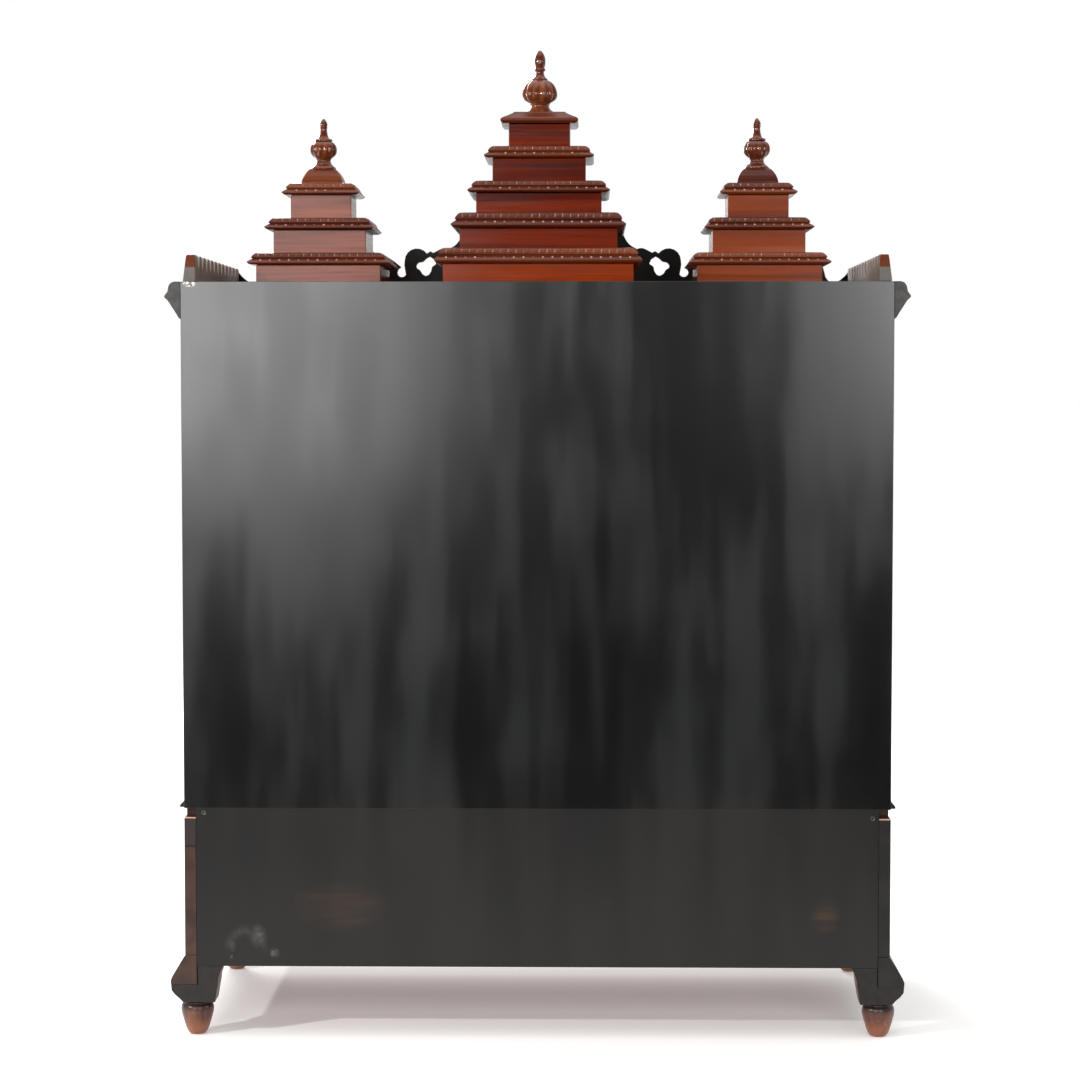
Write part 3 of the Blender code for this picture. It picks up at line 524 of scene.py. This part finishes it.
def sprayed_wood(name, grain, stain, paint, back_y, depth, specular=0.35):
    """Stained wood whose rear took the spray or brush, to the given depth: a thin uneven satin film."""
    material, tree, shader = new_material(name, 0.32, specular)
    coordinates, _, y, _ = object_place(tree)
    colour, streaks = wood_colour(tree, coordinates, grain, stain)
    film_inputs = {"Vector": coordinates, "Scale": SPRAY_FILM, "Detail": 3.0}
    film = add_node(tree, "ShaderNodeTexNoise", film_inputs).outputs["Fac"]
    sprayed = film_colour(tree, step(tree, film, 0.35, 0.70), paint)
    rear = rear_face(tree, y, back_y, depth)
    finish_wood(tree, shader, colour_mix(tree, rear, colour, sprayed), streaks)
    return material


def comb_board_wood():
    """The comb boards: matt grey-brown paint inside and on the rear end, whose top is rubbed to
    red-brown, slot walls pale, partly as sawn wood and partly as a painted highlight of the light
    through the slots, and stained wood on the outer face."""
    material, tree, shader = new_material("painted_comb_board", 0.40, 0.08)
    coordinates, x, y, z = object_place(tree)
    colour, streaks = wood_colour(tree, coordinates, GRAIN_Y, NICHE_RED)
    across = add_node(tree, "ShaderNodeMath", {0: x}, operation="ABSOLUTE").outputs[0]
    inner = step(tree, across, CRESTING_INNER_X + SKIN_END, CRESTING_INNER_X + SKIN_FULL)
    film_inputs = {"Vector": coordinates, "Scale": COMB_FILM, "Detail": 3.0}
    film = add_node(tree, "ShaderNodeTexNoise", film_inputs).outputs["Fac"]
    lean_inputs = {0: z, 1: CRESTING_LEAN, 2: across}
    upright = add_node(tree, "ShaderNodeMath", lean_inputs, operation="MULTIPLY_ADD").outputs[0]
    foot = CRESTING_OUTER_X + CRESTING_LEAN * CRESTING_FOOT_Z
    outer = step(tree, upright, foot - SKIN_END, foot - SKIN_FULL)
    rear_tooth = step(tree, y, BACK_Y - 0.012, BACK_Y - 0.010)
    # The slot walls get a pale colour: partly raw sawn wood, partly painted light for the bright light
    # seen through the slots
    colour = colour_mix(tree, greater_of(tree, outer, rear_tooth), linear("#93857a"), colour)
    colour = colour_mix(tree, inner, colour, film_colour(tree, film, COMB_INNER_FILM))
    top = step(tree, z, CRESTING_TOP_Z - 0.022, CRESTING_TOP_Z - 0.020)
    end = colour_mix(tree, top, film_colour(tree, film, COMB_END_FILM), linear("#62301d"))
    colour = colour_mix(tree, rear_face(tree, y, BACK_Y, 0.0020), colour, end)
    finish_wood(tree, shader, colour, streaks)
    return material


def dulled_zinc():
    """Zinc plated screw steel gone dull: grey metal with a darker, rougher film."""
    material, tree, shader = new_material("dulled_zinc_screw", 0.45, 0.5)
    shader.inputs["Metallic"].default_value = 1.0
    coordinates = object_place(tree)[0]
    film_inputs = {"Vector": coordinates, "Scale": ZINC_FILM, "Detail": 2.0}
    film = add_node(tree, "ShaderNodeTexNoise", film_inputs).outputs["Fac"]
    colour = colour_mix(tree, film, linear("#3a3733"), linear("#85807a"))
    tree.links.new(colour, shader.inputs["Base Color"])
    tree.links.new(step(tree, film, 0.3, 0.7, 0.35, 0.6), shader.inputs["Roughness"])
    return material


# Modelling


def recalculate():
    """Turns all the faces of the piece in edit mode outwards."""
    bpy.ops.mesh.select_all(action="SELECT")
    bpy.ops.mesh.normals_make_consistent(inside=False)


def select_faces(piece, test):
    """Selects the faces of a piece in edit mode whose normals pass the test, and nothing else."""
    bpy.ops.mesh.select_all(action="DESELECT")
    bpy.ops.mesh.select_mode(type="FACE")
    form = bmesh.from_edit_mesh(piece.data)
    for face in form.faces:
        face.select = test(face.normal)
    bmesh.update_edit_mesh(piece.data)


def carry_up(name, levels, centre, sides):
    """A square or round plate carried up through (half width, height) levels, one extrusion for each."""
    half, height = levels[0]
    place = (centre[0], centre[1], height)
    bpy.ops.object.select_all(action="DESELECT")
    if sides == 4:
        bpy.ops.mesh.primitive_plane_add(size=2 * half, location=place)
    else:
        bpy.ops.mesh.primitive_circle_add(vertices=sides, radius=half, fill_type="NGON", location=place)
    piece = bpy.context.object
    piece.name = name
    bpy.ops.object.mode_set(mode="EDIT")
    for (inner, low), (outer, high) in zip(levels, levels[1:]):
        bpy.ops.mesh.extrude_region_move(TRANSFORM_OT_translate={"value": (0, 0, high - low)})
        share = outer / inner
        pivot = (centre[0], centre[1], high)
        bpy.ops.transform.resize(value=(share, share, 1), center_override=pivot)
    recalculate()
    bpy.ops.object.mode_set(mode="OBJECT")
    bpy.ops.object.transform_apply(location=True, rotation=True, scale=True)
    return piece


def join_into(piece, parts):
    """Joins further meshes into a piece and leaves it as the only selected object."""
    bpy.ops.object.select_all(action="DESELECT")
    for part in parts:
        part.select_set(True)
    piece.select_set(True)
    bpy.context.view_layer.objects.active = piece
    bpy.ops.object.join()


def stand_for(piece, node, material):
    """Gives a finished piece its material and puts it in the place of the solid of the same part."""
    if not piece.data.materials:
        piece.data.materials.append(material)
    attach(piece, "root")
    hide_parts(node)


def add_tablet(place, lean, length):
    """A small raised block with a sloping rim, sunk half into the band."""
    bpy.ops.mesh.primitive_cube_add(size=1, location=place, rotation=(lean, 0, 0))
    block = bpy.context.object
    block.scale = (TABLET_WIDTH, 2 * TABLET_RAISED, 0.76 * length)
    bpy.ops.object.transform_apply(location=False, rotation=False, scale=True)
    bpy.ops.object.mode_set(mode="EDIT")
    select_faces(block, lambda normal: normal.y > 0.5)
    bpy.ops.mesh.bevel(offset=TABLET_RIM, offset_type="OFFSET", segments=1, affect="EDGES")
    bpy.ops.object.mode_set(mode="OBJECT")


def add_bead(place, lean, _):
    """A round bead sunk half into the band."""
    bpy.ops.mesh.primitive_uv_sphere_add(segments=8, ring_count=6, radius=BEAD_RADIUS, location=place)
    bead = bpy.context.object
    bead.scale = (1.0, 0.8, 1.0)
    bpy.ops.object.transform_apply(location=False, rotation=False, scale=True)
    bead.rotation_euler.x = lean
    bpy.ops.object.shade_smooth()


def add_carving_rows(centre, band, half, low, thick, pitch, add_one):
    """One carved shape on a band of a cornice, set out along its back and carried to its other sides."""
    (out_low, rise_low), (out_high, rise_high) = band
    reach = half + CORNICE_OUT * (out_low + out_high) / 2
    height = low + thick * (rise_low + rise_high) / 2
    run_in = CORNICE_OUT * (out_low - out_high)
    run_up = thick * (rise_high - rise_low)
    count = int(2 * reach / pitch - 0.8)
    start = centre[0] - pitch * (count - 1) / 2
    bpy.ops.object.select_all(action="DESELECT")
    add_one((start, centre[1] + reach, height), math.atan2(run_in, run_up), math.hypot(run_in, run_up))
    row = bpy.context.object
    bpy.ops.object.transform_apply(location=False, rotation=True, scale=True)
    array = row.modifiers.new("Row", "ARRAY")
    array.count = count
    array.use_relative_offset = False
    array.use_constant_offset = True
    array.constant_offset_displace = (pitch, 0, 0)
    bpy.ops.object.modifier_apply(modifier=array.name)
    bpy.ops.object.transform_apply(location=True, rotation=True, scale=True)
    rows = [row]
    for quarter in (1, 2, 3):
        bpy.ops.object.select_all(action="DESELECT")
        row.select_set(True)
        bpy.context.view_layer.objects.active = row
        bpy.ops.object.duplicate()
        pivot = (centre[0], centre[1], height)
        bpy.ops.transform.rotate(value=quarter * math.pi / 2, orient_axis="Z", center_override=pivot)
        bpy.ops.object.transform_apply(location=True, rotation=True, scale=True)
        rows.append(bpy.context.object)
    return rows


def add_cornice(node, carved, rubbed):
    """A cornice board: a moulded square plate with a row of tablets above a row of beads."""
    low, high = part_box(node)
    centre = ((low.x + high.x) / 2, (low.y + high.y) / 2)
    half = (high.x - low.x) / 2 - CORNICE_OUT
    thick = high.z - low.z
    levels = [(half + out * CORNICE_OUT, low.z + rise * thick) for out, rise in CORNICE_SHAPE]
    board = carry_up(f"carved_{node}", levels, centre, 4)
    board.data.materials.append(carved)
    board.data.materials.append(rubbed)
    tablets = add_carving_rows(centre, TABLET_BAND, half, low.z, thick, TABLET_PITCH, add_tablet)
    beads = add_carving_rows(centre, BEAD_BAND, half, low.z, thick, BEAD_PITCH, add_bead)
    for quarter, row in enumerate(tablets):
        row.data.materials.append(carved)
        row.data.materials.append(rubbed)
        # Each tablet's top rim and its upright rim facing +X or +Y, toward the lights, get the pale edge
        # material: partly stain rubbed through, partly a painted highlight
        along = quarter % 2
        for face in row.data.polygons:
            face.material_index = 1 if face.normal.z > 0.9 or face.normal[along] > 0.45 else 0
    # Painted highlight: the beads are wholly in the pale edge material, partly rubbed wood, partly the
    # glint of the light on them
    for row in beads:
        row.data.materials.append(rubbed)
    join_into(board, tablets + beads)
    stand_for(board, node, carved)


def turned_levels(node, shape):
    """A node's axis, and an outline in shares of its radius and height as real levels in its box."""
    low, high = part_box(node)
    radius = (high.x - low.x) / 2
    centre = ((low.x + high.x) / 2, (low.y + high.y) / 2)
    height = high.z - low.z
    return centre, [(max(share * radius, TIP_RADIUS), low.z + rise * height) for share, rise in shape]


# Turned outlines: each point is a share of the radius and a share of the height
CENTRE_FINIAL_SHAPE = (
    (0.84, 0.0),
    (0.86, 0.008),
    (0.82, 0.022),
    (0.66, 0.050),
    (0.56, 0.080),
    (0.51, 0.110),
    (0.51, 0.130),
    (0.56, 0.150),
    (0.55, 0.158),
    (0.62, 0.172),
    (0.76, 0.195),
    (0.89, 0.222),
    (0.97, 0.255),
    (1.0, 0.290),
    (0.99, 0.330),
    (0.95, 0.375),
    (0.88, 0.420),
    (0.78, 0.462),
    (0.66, 0.495),
    (0.50, 0.520),
    (0.42, 0.535),
    (0.44, 0.542),
    (0.40, 0.552),
    (0.31, 0.575),
    (0.25, 0.605),
    (0.22, 0.640),
    (0.23, 0.665),
    (0.30, 0.680),
    (0.31, 0.700),
    (0.27, 0.715),
    (0.25, 0.722),
    (0.27, 0.745),
    (0.30, 0.785),
    (0.31, 0.825),
    (0.30, 0.865),
    (0.27, 0.905),
    (0.21, 0.945),
    (0.13, 0.978),
    (0.06, 0.995),
    (0.0, 1.0),
)

SIDE_FINIAL_SHAPE = (
    (0.91, 0.0),
    (0.93, 0.012),
    (0.90, 0.030),
    (0.76, 0.062),
    (0.63, 0.090),
    (0.56, 0.120),
    (0.52, 0.155),
    (0.52, 0.185),
    (0.58, 0.200),
    (0.56, 0.208),
    (0.66, 0.228),
    (0.80, 0.255),
    (0.91, 0.290),
    (0.98, 0.335),
    (1.0, 0.380),
    (0.98, 0.430),
    (0.92, 0.475),
    (0.82, 0.510),
    (0.68, 0.536),
    (0.58, 0.546),
    (0.65, 0.556),
    (0.66, 0.575),
    (0.63, 0.592),
    (0.50, 0.602),
    (0.40, 0.612),
    (0.34, 0.650),
    (0.29, 0.700),
    (0.26, 0.750),
    (0.25, 0.790),
    (0.27, 0.822),
    (0.29, 0.835),
    (0.28, 0.850),
    (0.26, 0.856),
    (0.28, 0.866),
    (0.29, 0.880),
    (0.27, 0.910),
    (0.22, 0.940),
    (0.14, 0.972),
    (0.06, 0.994),
    (0.0, 1.0),
)

# The bulbs lie between these shares of their finial's height
CENTRE_BULB = (0.165, 0.525)
SIDE_BULB = (0.215, 0.540)


def select_ring(piece, centre, ring_z, offsets):
    """Selects the points of one ring that stand at the given steps within each lobe."""
    bpy.ops.mesh.select_all(action="DESELECT")
    form = bmesh.from_edit_mesh(piece.data)
    pitch = math.tau / (LOBES * LOBE_STEPS)
    for vert in form.verts:
        if abs(vert.co.z - ring_z) < RING_TOLERANCE:
            angle = math.atan2(vert.co.y - centre[1], vert.co.x - centre[0])
            vert.select = round(angle / pitch) % LOBE_STEPS in offsets
    bmesh.update_edit_mesh(piece.data)


def add_finial(node, shape, bulb, turned):
    """A turned finial whose bulb is gouged into round lobes."""
    centre, levels = turned_levels(node, shape)
    finial = carry_up(f"turned_{node}", levels, centre, LOBES * LOBE_STEPS)
    base = levels[0][1]
    height = levels[-1][1] - base
    bpy.ops.object.mode_set(mode="EDIT")
    bpy.ops.mesh.select_mode(type="VERT")
    for _, ring_z in levels:
        share = (ring_z - base) / height
        if not bulb[0] < share < bulb[1]:
            continue
        depth = LOBE_DEPTH * math.sin(math.pi * (share - bulb[0]) / (bulb[1] - bulb[0])) ** 0.5
        pivot = (centre[0], centre[1], ring_z)
        for offsets, cut in (((0,), 1.0), ((1, 3), LOBE_SHOULDER)):
            select_ring(finial, centre, ring_z, offsets)
            keep = 1 - cut * depth
            bpy.ops.transform.resize(value=(keep, keep, 1), center_override=pivot)
    recalculate()
    bpy.ops.object.mode_set(mode="OBJECT")
    bpy.ops.object.shade_smooth_by_angle(angle=FINIAL_SHARP_ANGLE)
    stand_for(finial, node, turned)


BUN_SHAPE = (
    (0.34, 0.0),
    (0.46, 0.015),
    (0.55, 0.055),
    (0.64, 0.12),
    (0.72, 0.21),
    (0.80, 0.33),
    (0.88, 0.46),
    (0.95, 0.58),
    (0.99, 0.67),
    (1.0, 0.75),
    (0.98, 0.82),
    (0.93, 0.87),
    (0.88, 0.885),
    (0.86, 0.90),
    (0.90, 0.92),
    (0.89, 0.95),
    (0.80, 0.98),
    (0.76, 1.0),
)


def add_bun_foot(node, foot_wood):
    """A turned bun foot with a fine neck under its pad."""
    centre, levels = turned_levels(node, BUN_SHAPE)
    foot = carry_up(f"turned_{node}", levels, centre, TURNED_STEPS)
    bpy.ops.object.shade_smooth_by_angle(angle=TURNED_SHARP_ANGLE)
    stand_for(foot, node, foot_wood)


COLUMN_SHAPE = (
    (0.70, -0.010),
    (0.88, 0.004),
    (0.95, 0.014),
    (0.97, 0.024),
    (0.92, 0.036),
    (0.66, 0.046),
    (0.60, 0.055),
    (0.62, 0.068),
    (0.80, 0.082),
    (0.93, 0.100),
    (0.99, 0.125),
    (1.0, 0.150),
    (0.97, 0.185),
    (0.90, 0.225),
    (0.83, 0.290),
    (0.76, 0.380),
    (0.70, 0.500),
    (0.65, 0.620),
    (0.61, 0.740),
    (0.58, 0.830),
    (0.58, 0.862),
    (0.70, 0.872),
    (0.95, 0.880),
    (1.0, 0.893),
    (0.95, 0.906),
    (0.70, 0.916),
    (0.60, 0.928),
    (0.60, 0.948),
    (0.76, 0.958),
    (0.93, 0.966),
    (0.95, 0.978),
    (0.88, 0.990),
    (0.70, 1.010),
)


def add_column(node, mahogany):
    """A front column: a turned shaft between two square blocks with broken edges."""
    low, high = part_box(node)
    centre = ((low.x + high.x) / 2, (low.y + high.y) / 2)
    half = (high.x - low.x) / 2
    shaft_low = low.z + COLUMN_BLOCK_HEIGHT
    shaft = high.z - low.z - 2 * COLUMN_BLOCK_HEIGHT
    radius = half * COLUMN_TURNED_SHARE
    levels = [(radius * share, shaft_low + rise * shaft) for share, rise in COLUMN_SHAPE]
    column = carry_up(f"turned_{node}", levels, centre, TURNED_STEPS)
    bpy.ops.object.shade_smooth_by_angle(angle=TURNED_SHARP_ANGLE)
    blocks = []
    for block_low in (low.z, high.z - COLUMN_BLOCK_HEIGHT):
        bpy.ops.object.select_all(action="DESELECT")
        place = (centre[0], centre[1], block_low + COLUMN_BLOCK_HEIGHT / 2)
        bpy.ops.mesh.primitive_cube_add(size=1, location=place)
        block = bpy.context.object
        block.scale = (2 * half, 2 * half, COLUMN_BLOCK_HEIGHT)
        bpy.ops.object.transform_apply(location=True, rotation=True, scale=True)
        bpy.ops.object.mode_set(mode="EDIT")
        bpy.ops.mesh.bevel(offset=COLUMN_BLOCK_EDGE, offset_type="OFFSET", segments=2, affect="EDGES")
        recalculate()
        bpy.ops.object.mode_set(mode="OBJECT")
        blocks.append(block)
    join_into(column, blocks)
    stand_for(column, node, mahogany)


def add_screw(number, across, up, steel):
    """A countersunk screw in the base panel's top edge: a flat rim round a small driving recess."""
    bpy.ops.object.select_all(action="DESELECT")
    bpy.ops.mesh.primitive_cylinder_add(
        vertices=24,
        radius=SCREW_RADIUS,
        depth=SCREW_LENGTH,
        location=(across, BACK_Y, up),
        rotation=(math.radians(-90), 0, 0),
    )
    screw = bpy.context.object
    screw.name = f"panel_screw_{number}"
    bpy.ops.object.transform_apply(location=True, rotation=True, scale=True)
    bpy.ops.object.mode_set(mode="EDIT")
    select_faces(screw, lambda normal: normal.y > 0.9)
    for inset, sink in ((SCREW_RIM, SCREW_DISH), (SCREW_SHOULDER, SCREW_RECESS)):
        bpy.ops.mesh.inset(thickness=inset)
        bpy.ops.transform.translate(value=(0, -sink, 0))
    recalculate()
    bpy.ops.object.mode_set(mode="OBJECT")
    bpy.ops.object.shade_smooth_by_angle(angle=TURNED_SHARP_ANGLE)
    screw.data.materials.append(steel)
    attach(screw, "root")


# Dressing the solids that stay


def dress_node(name, material, rounding):
    """Gives a carried-over solid its material and the soft edges of sanded wood."""
    piece = nodes[name]
    piece.data.materials.clear()
    piece.data.materials.append(material)
    weld = piece.modifiers.new("Weld", "WELD")
    weld.merge_threshold = WELD_DISTANCE
    flat = piece.modifiers.new("Flat faces", "DECIMATE")
    flat.decimate_type = "DISSOLVE"
    flat.angle_limit = FLAT_ANGLE
    bevel = piece.modifiers.new("Sanded edges", "BEVEL")
    bevel.width = rounding
    bevel.segments = 2
    bevel.limit_method = "ANGLE"
    bevel.angle_limit = EDGE_ANGLE


def dress_solids(upright):
    """Materials and soft edges for the solids that stay as they are."""
    boxes = lacquered_mahogany("gloss_mahogany_level", GRAIN_ROUND, DEEP_RED)
    side_boxes = lacquered_mahogany("gloss_mahogany_level_brown", GRAIN_ROUND, ROOF_BROWN)
    painted_lit_boxes = lacquered_mahogany("gloss_mahogany_level_painted_lit", GRAIN_ROUND, PAINTED_LIT_RED)
    lengthwise = lacquered_mahogany("gloss_mahogany_lengthwise", GRAIN_X, DEEP_RED)
    sides_upright = stained_side_wood("stained_side_upright", GRAIN_UPRIGHT)
    sides_level = stained_side_wood("stained_side_level", GRAIN_Y)
    crown = sprayed_wood("sprayed_crown_moulding", GRAIN_Y, SIDE_BROWN, GREY_BLACK_FILM, BACK_Y, 0.002)
    block = sprayed_wood("sprayed_foot_block", GRAIN_X, SIDE_BROWN, BLOCK_FILM, BACK_Y, 0.0045)
    # The fret board's rear is near black: partly paint, partly painted shade
    fret = sprayed_wood("sprayed_and_shaded_fret_board", GRAIN_X, DEEP_RED, FRET_FILM_AND_SHADE, CREST_BACK_Y, 0.002, 0.12)
    floor_edge = sprayed_wood("sprayed_floor_edge", GRAIN_X, SIDE_BROWN, EDGE_FILM, PANEL_FRONT_Y, 0.003)
    neck = sprayed_wood("brushed_neck_board", GRAIN_X, SIDE_BROWN, NECK_FILM, PANEL_FRONT_Y, 0.003)
    comb = comb_board_wood()

    for name in ("base_top_rail", "arch_board", "crown_moulding_front"):
        dress_node(name, lengthwise, BOARD_ROUNDING)
    for name in ("roof_board", "skirting_front", "base_floor_board"):
        dress_node(name, lengthwise, MOULDING_ROUNDING)
    dress_node("shrine_floor", floor_edge, MOULDING_ROUNDING)
    dress_node("neck_board", neck, MOULDING_ROUNDING)
    for side in ("left", "right"):
        dress_node(f"base_stile_{side}", upright, BOARD_ROUNDING)
        dress_node(f"shrine_side_{side}", sides_upright, MOULDING_ROUNDING)
        dress_node(f"base_side_{side}", sides_level, BOARD_ROUNDING)
        dress_node(f"skirting_{side}", sides_level, BOARD_ROUNDING)
        dress_node(f"crown_moulding_{side}", crown, MOULDING_ROUNDING)
        dress_node(f"side_cresting_{side}", comb, BOARD_ROUNDING)
    dress_node("front_crest_board", fret, MOULDING_ROUNDING)
    dress_node("back_panel", back_panel_paint(), MOULDING_ROUNDING)
    dress_node("base_back_panel", base_panel_paint(), MOULDING_ROUNDING)
    for name in nodes:
        # Painted light: the lowest centre box is given a lighter copy of the deep red stain
        if name == "centre_roof_box_1":
            dress_node(name, painted_lit_boxes, BOARD_ROUNDING)
        elif "centre_roof_box" in name:
            dress_node(name, boxes, BOARD_ROUNDING)
        elif "roof_box" in name:
            dress_node(name, side_boxes, BOARD_ROUNDING)
        elif "foot_block" in name:
            dress_node(name, block, BOARD_ROUNDING)


# Studio


def stand_in_scene(name, data, place):
    """Puts a light or camera in the scene at its place."""
    thing = bpy.data.objects.new(name, data)
    bpy.context.scene.collection.objects.link(thing)
    thing.location = place
    return thing


def add_lights():
    """Two softboxes that the back mirrors at its upper corners, one for the front, and small lamps."""
    for name, place, aim, size, power in SOFTBOXES:
        data = bpy.data.lights.new(name, "AREA")
        data.shape = "RECTANGLE"
        data.size, data.size_y = size
        data.energy = power
        softbox = stand_in_scene(name, data, place)
        softbox.rotation_euler = (Vector(aim) - Vector(place)).to_track_quat("-Z", "Y").to_euler()
    for name, place, power, radius in LAMPS:
        data = bpy.data.lights.new(name, "POINT")
        data.energy = power
        data.shadow_soft_size = radius
        stand_in_scene(name, data, place)


def add_world():
    """White for the camera; for the object a bright room, dim behind the camera, brightest overhead."""
    world = bpy.data.worlds.new("studio")
    bpy.context.scene.world = world
    world.use_nodes = True
    tree = world.node_tree
    background = tree.nodes["Background"]
    background.inputs["Color"].default_value = linear("#ffffff")
    direction = add_node(tree, "ShaderNodeTexCoord").outputs["Generated"]
    parts = add_node(tree, "ShaderNodeSeparateXYZ", {"Vector": direction})
    room = step(tree, parts.outputs["Y"], 0.70, -0.10, DIM_WALL, BRIGHT_WALL)
    ceiling = step(tree, parts.outputs["Z"], 0.55, 0.90, 0.0, CEILING)
    seen = add_node(tree, "ShaderNodeLightPath").outputs["Is Camera Ray"]
    around = greater_of(tree, room, ceiling)
    strength = add_node(tree, "ShaderNodeMix", {"Factor": seen, "A": around, "B": 1.0})
    tree.links.new(strength.outputs["Result"], background.inputs["Strength"])


def add_floor():
    """A plain pale studio floor with a faint mottle."""
    bpy.ops.object.select_all(action="DESELECT")
    bpy.ops.mesh.primitive_plane_add(size=FLOOR_SIZE, location=(0, FLOOR_END_Y - FLOOR_SIZE / 2, 0))
    floor = bpy.context.object
    floor.name = "floor"
    material, tree, shader = new_material("matt_studio_floor", 0.9, 0.2)
    mottle_inputs = {"Vector": object_place(tree)[0], "Scale": 1.2, "Detail": 2.0}
    mottle = add_node(tree, "ShaderNodeTexNoise", mottle_inputs).outputs["Fac"]
    colour = colour_mix(tree, mottle, linear("#f5f5f4"), linear("#f9f9f8"))
    tree.links.new(colour, shader.inputs["Base Color"])
    shader.inputs["Emission Color"].default_value = linear("#ffffff")
    shader.inputs["Emission Strength"].default_value = FLOOR_GLOW
    floor.data.materials.append(material)


def add_camera():
    """The camera, turned a little to the side and tilted a little down, as in the photograph."""
    data = bpy.data.cameras.new("camera")
    data.lens = LENS
    data.sensor_width = 36
    camera = stand_in_scene("camera", data, (CAMERA_X, BACK_Y + CAMERA_DISTANCE, CAMERA_HEIGHT))
    level = math.cos(PITCH_DOWN)
    aim = Vector((math.sin(YAW) * level, -math.cos(YAW) * level, -math.sin(PITCH_DOWN)))
    camera.rotation_euler = aim.to_track_quat("-Z", "Y").to_euler()
    bpy.context.scene.camera = camera


def add_carved_and_turned_pieces(upright):
    """The finer pieces that stand for plain solids, and the screws."""
    carved = carved_mahogany()
    turned = turned_mahogany()
    # The pale edge material is partly rubbed wood and partly a painted highlight
    rubbed = rubbed_and_highlit_edge()
    for name in sorted(nodes):
        if "roof_cornice" in name:
            add_cornice(name, carved, rubbed)
        if "roof_cap" in name:
            dress_node(name, carved, BOARD_ROUNDING)
    add_finial("centre_finial", CENTRE_FINIAL_SHAPE, CENTRE_BULB, turned)
    foot_wood = turned_foot_wood()
    for side in ("left", "right"):
        add_finial(f"{side}_finial", SIDE_FINIAL_SHAPE, SIDE_BULB, turned)
        add_column(f"front_column_{side}", upright)
        for end in ("back", "front"):
            add_bun_foot(f"bun_foot_{end}_{side}", foot_wood)
    steel = dulled_zinc()
    for number, (across, up) in enumerate(SCREW_PLACES, 1):
        add_screw(number, across, up, steel)


# The scene
bpy.context.scene.view_settings.view_transform = "Standard"
bpy.ops.object.select_all(action="DESELECT")
add_camera()
add_floor()
add_world()
add_lights()
upright_mahogany = lacquered_mahogany("gloss_mahogany_upright", GRAIN_UPRIGHT, DEEP_RED)
dress_solids(upright_mahogany)
add_carved_and_turned_pieces(upright_mahogany)
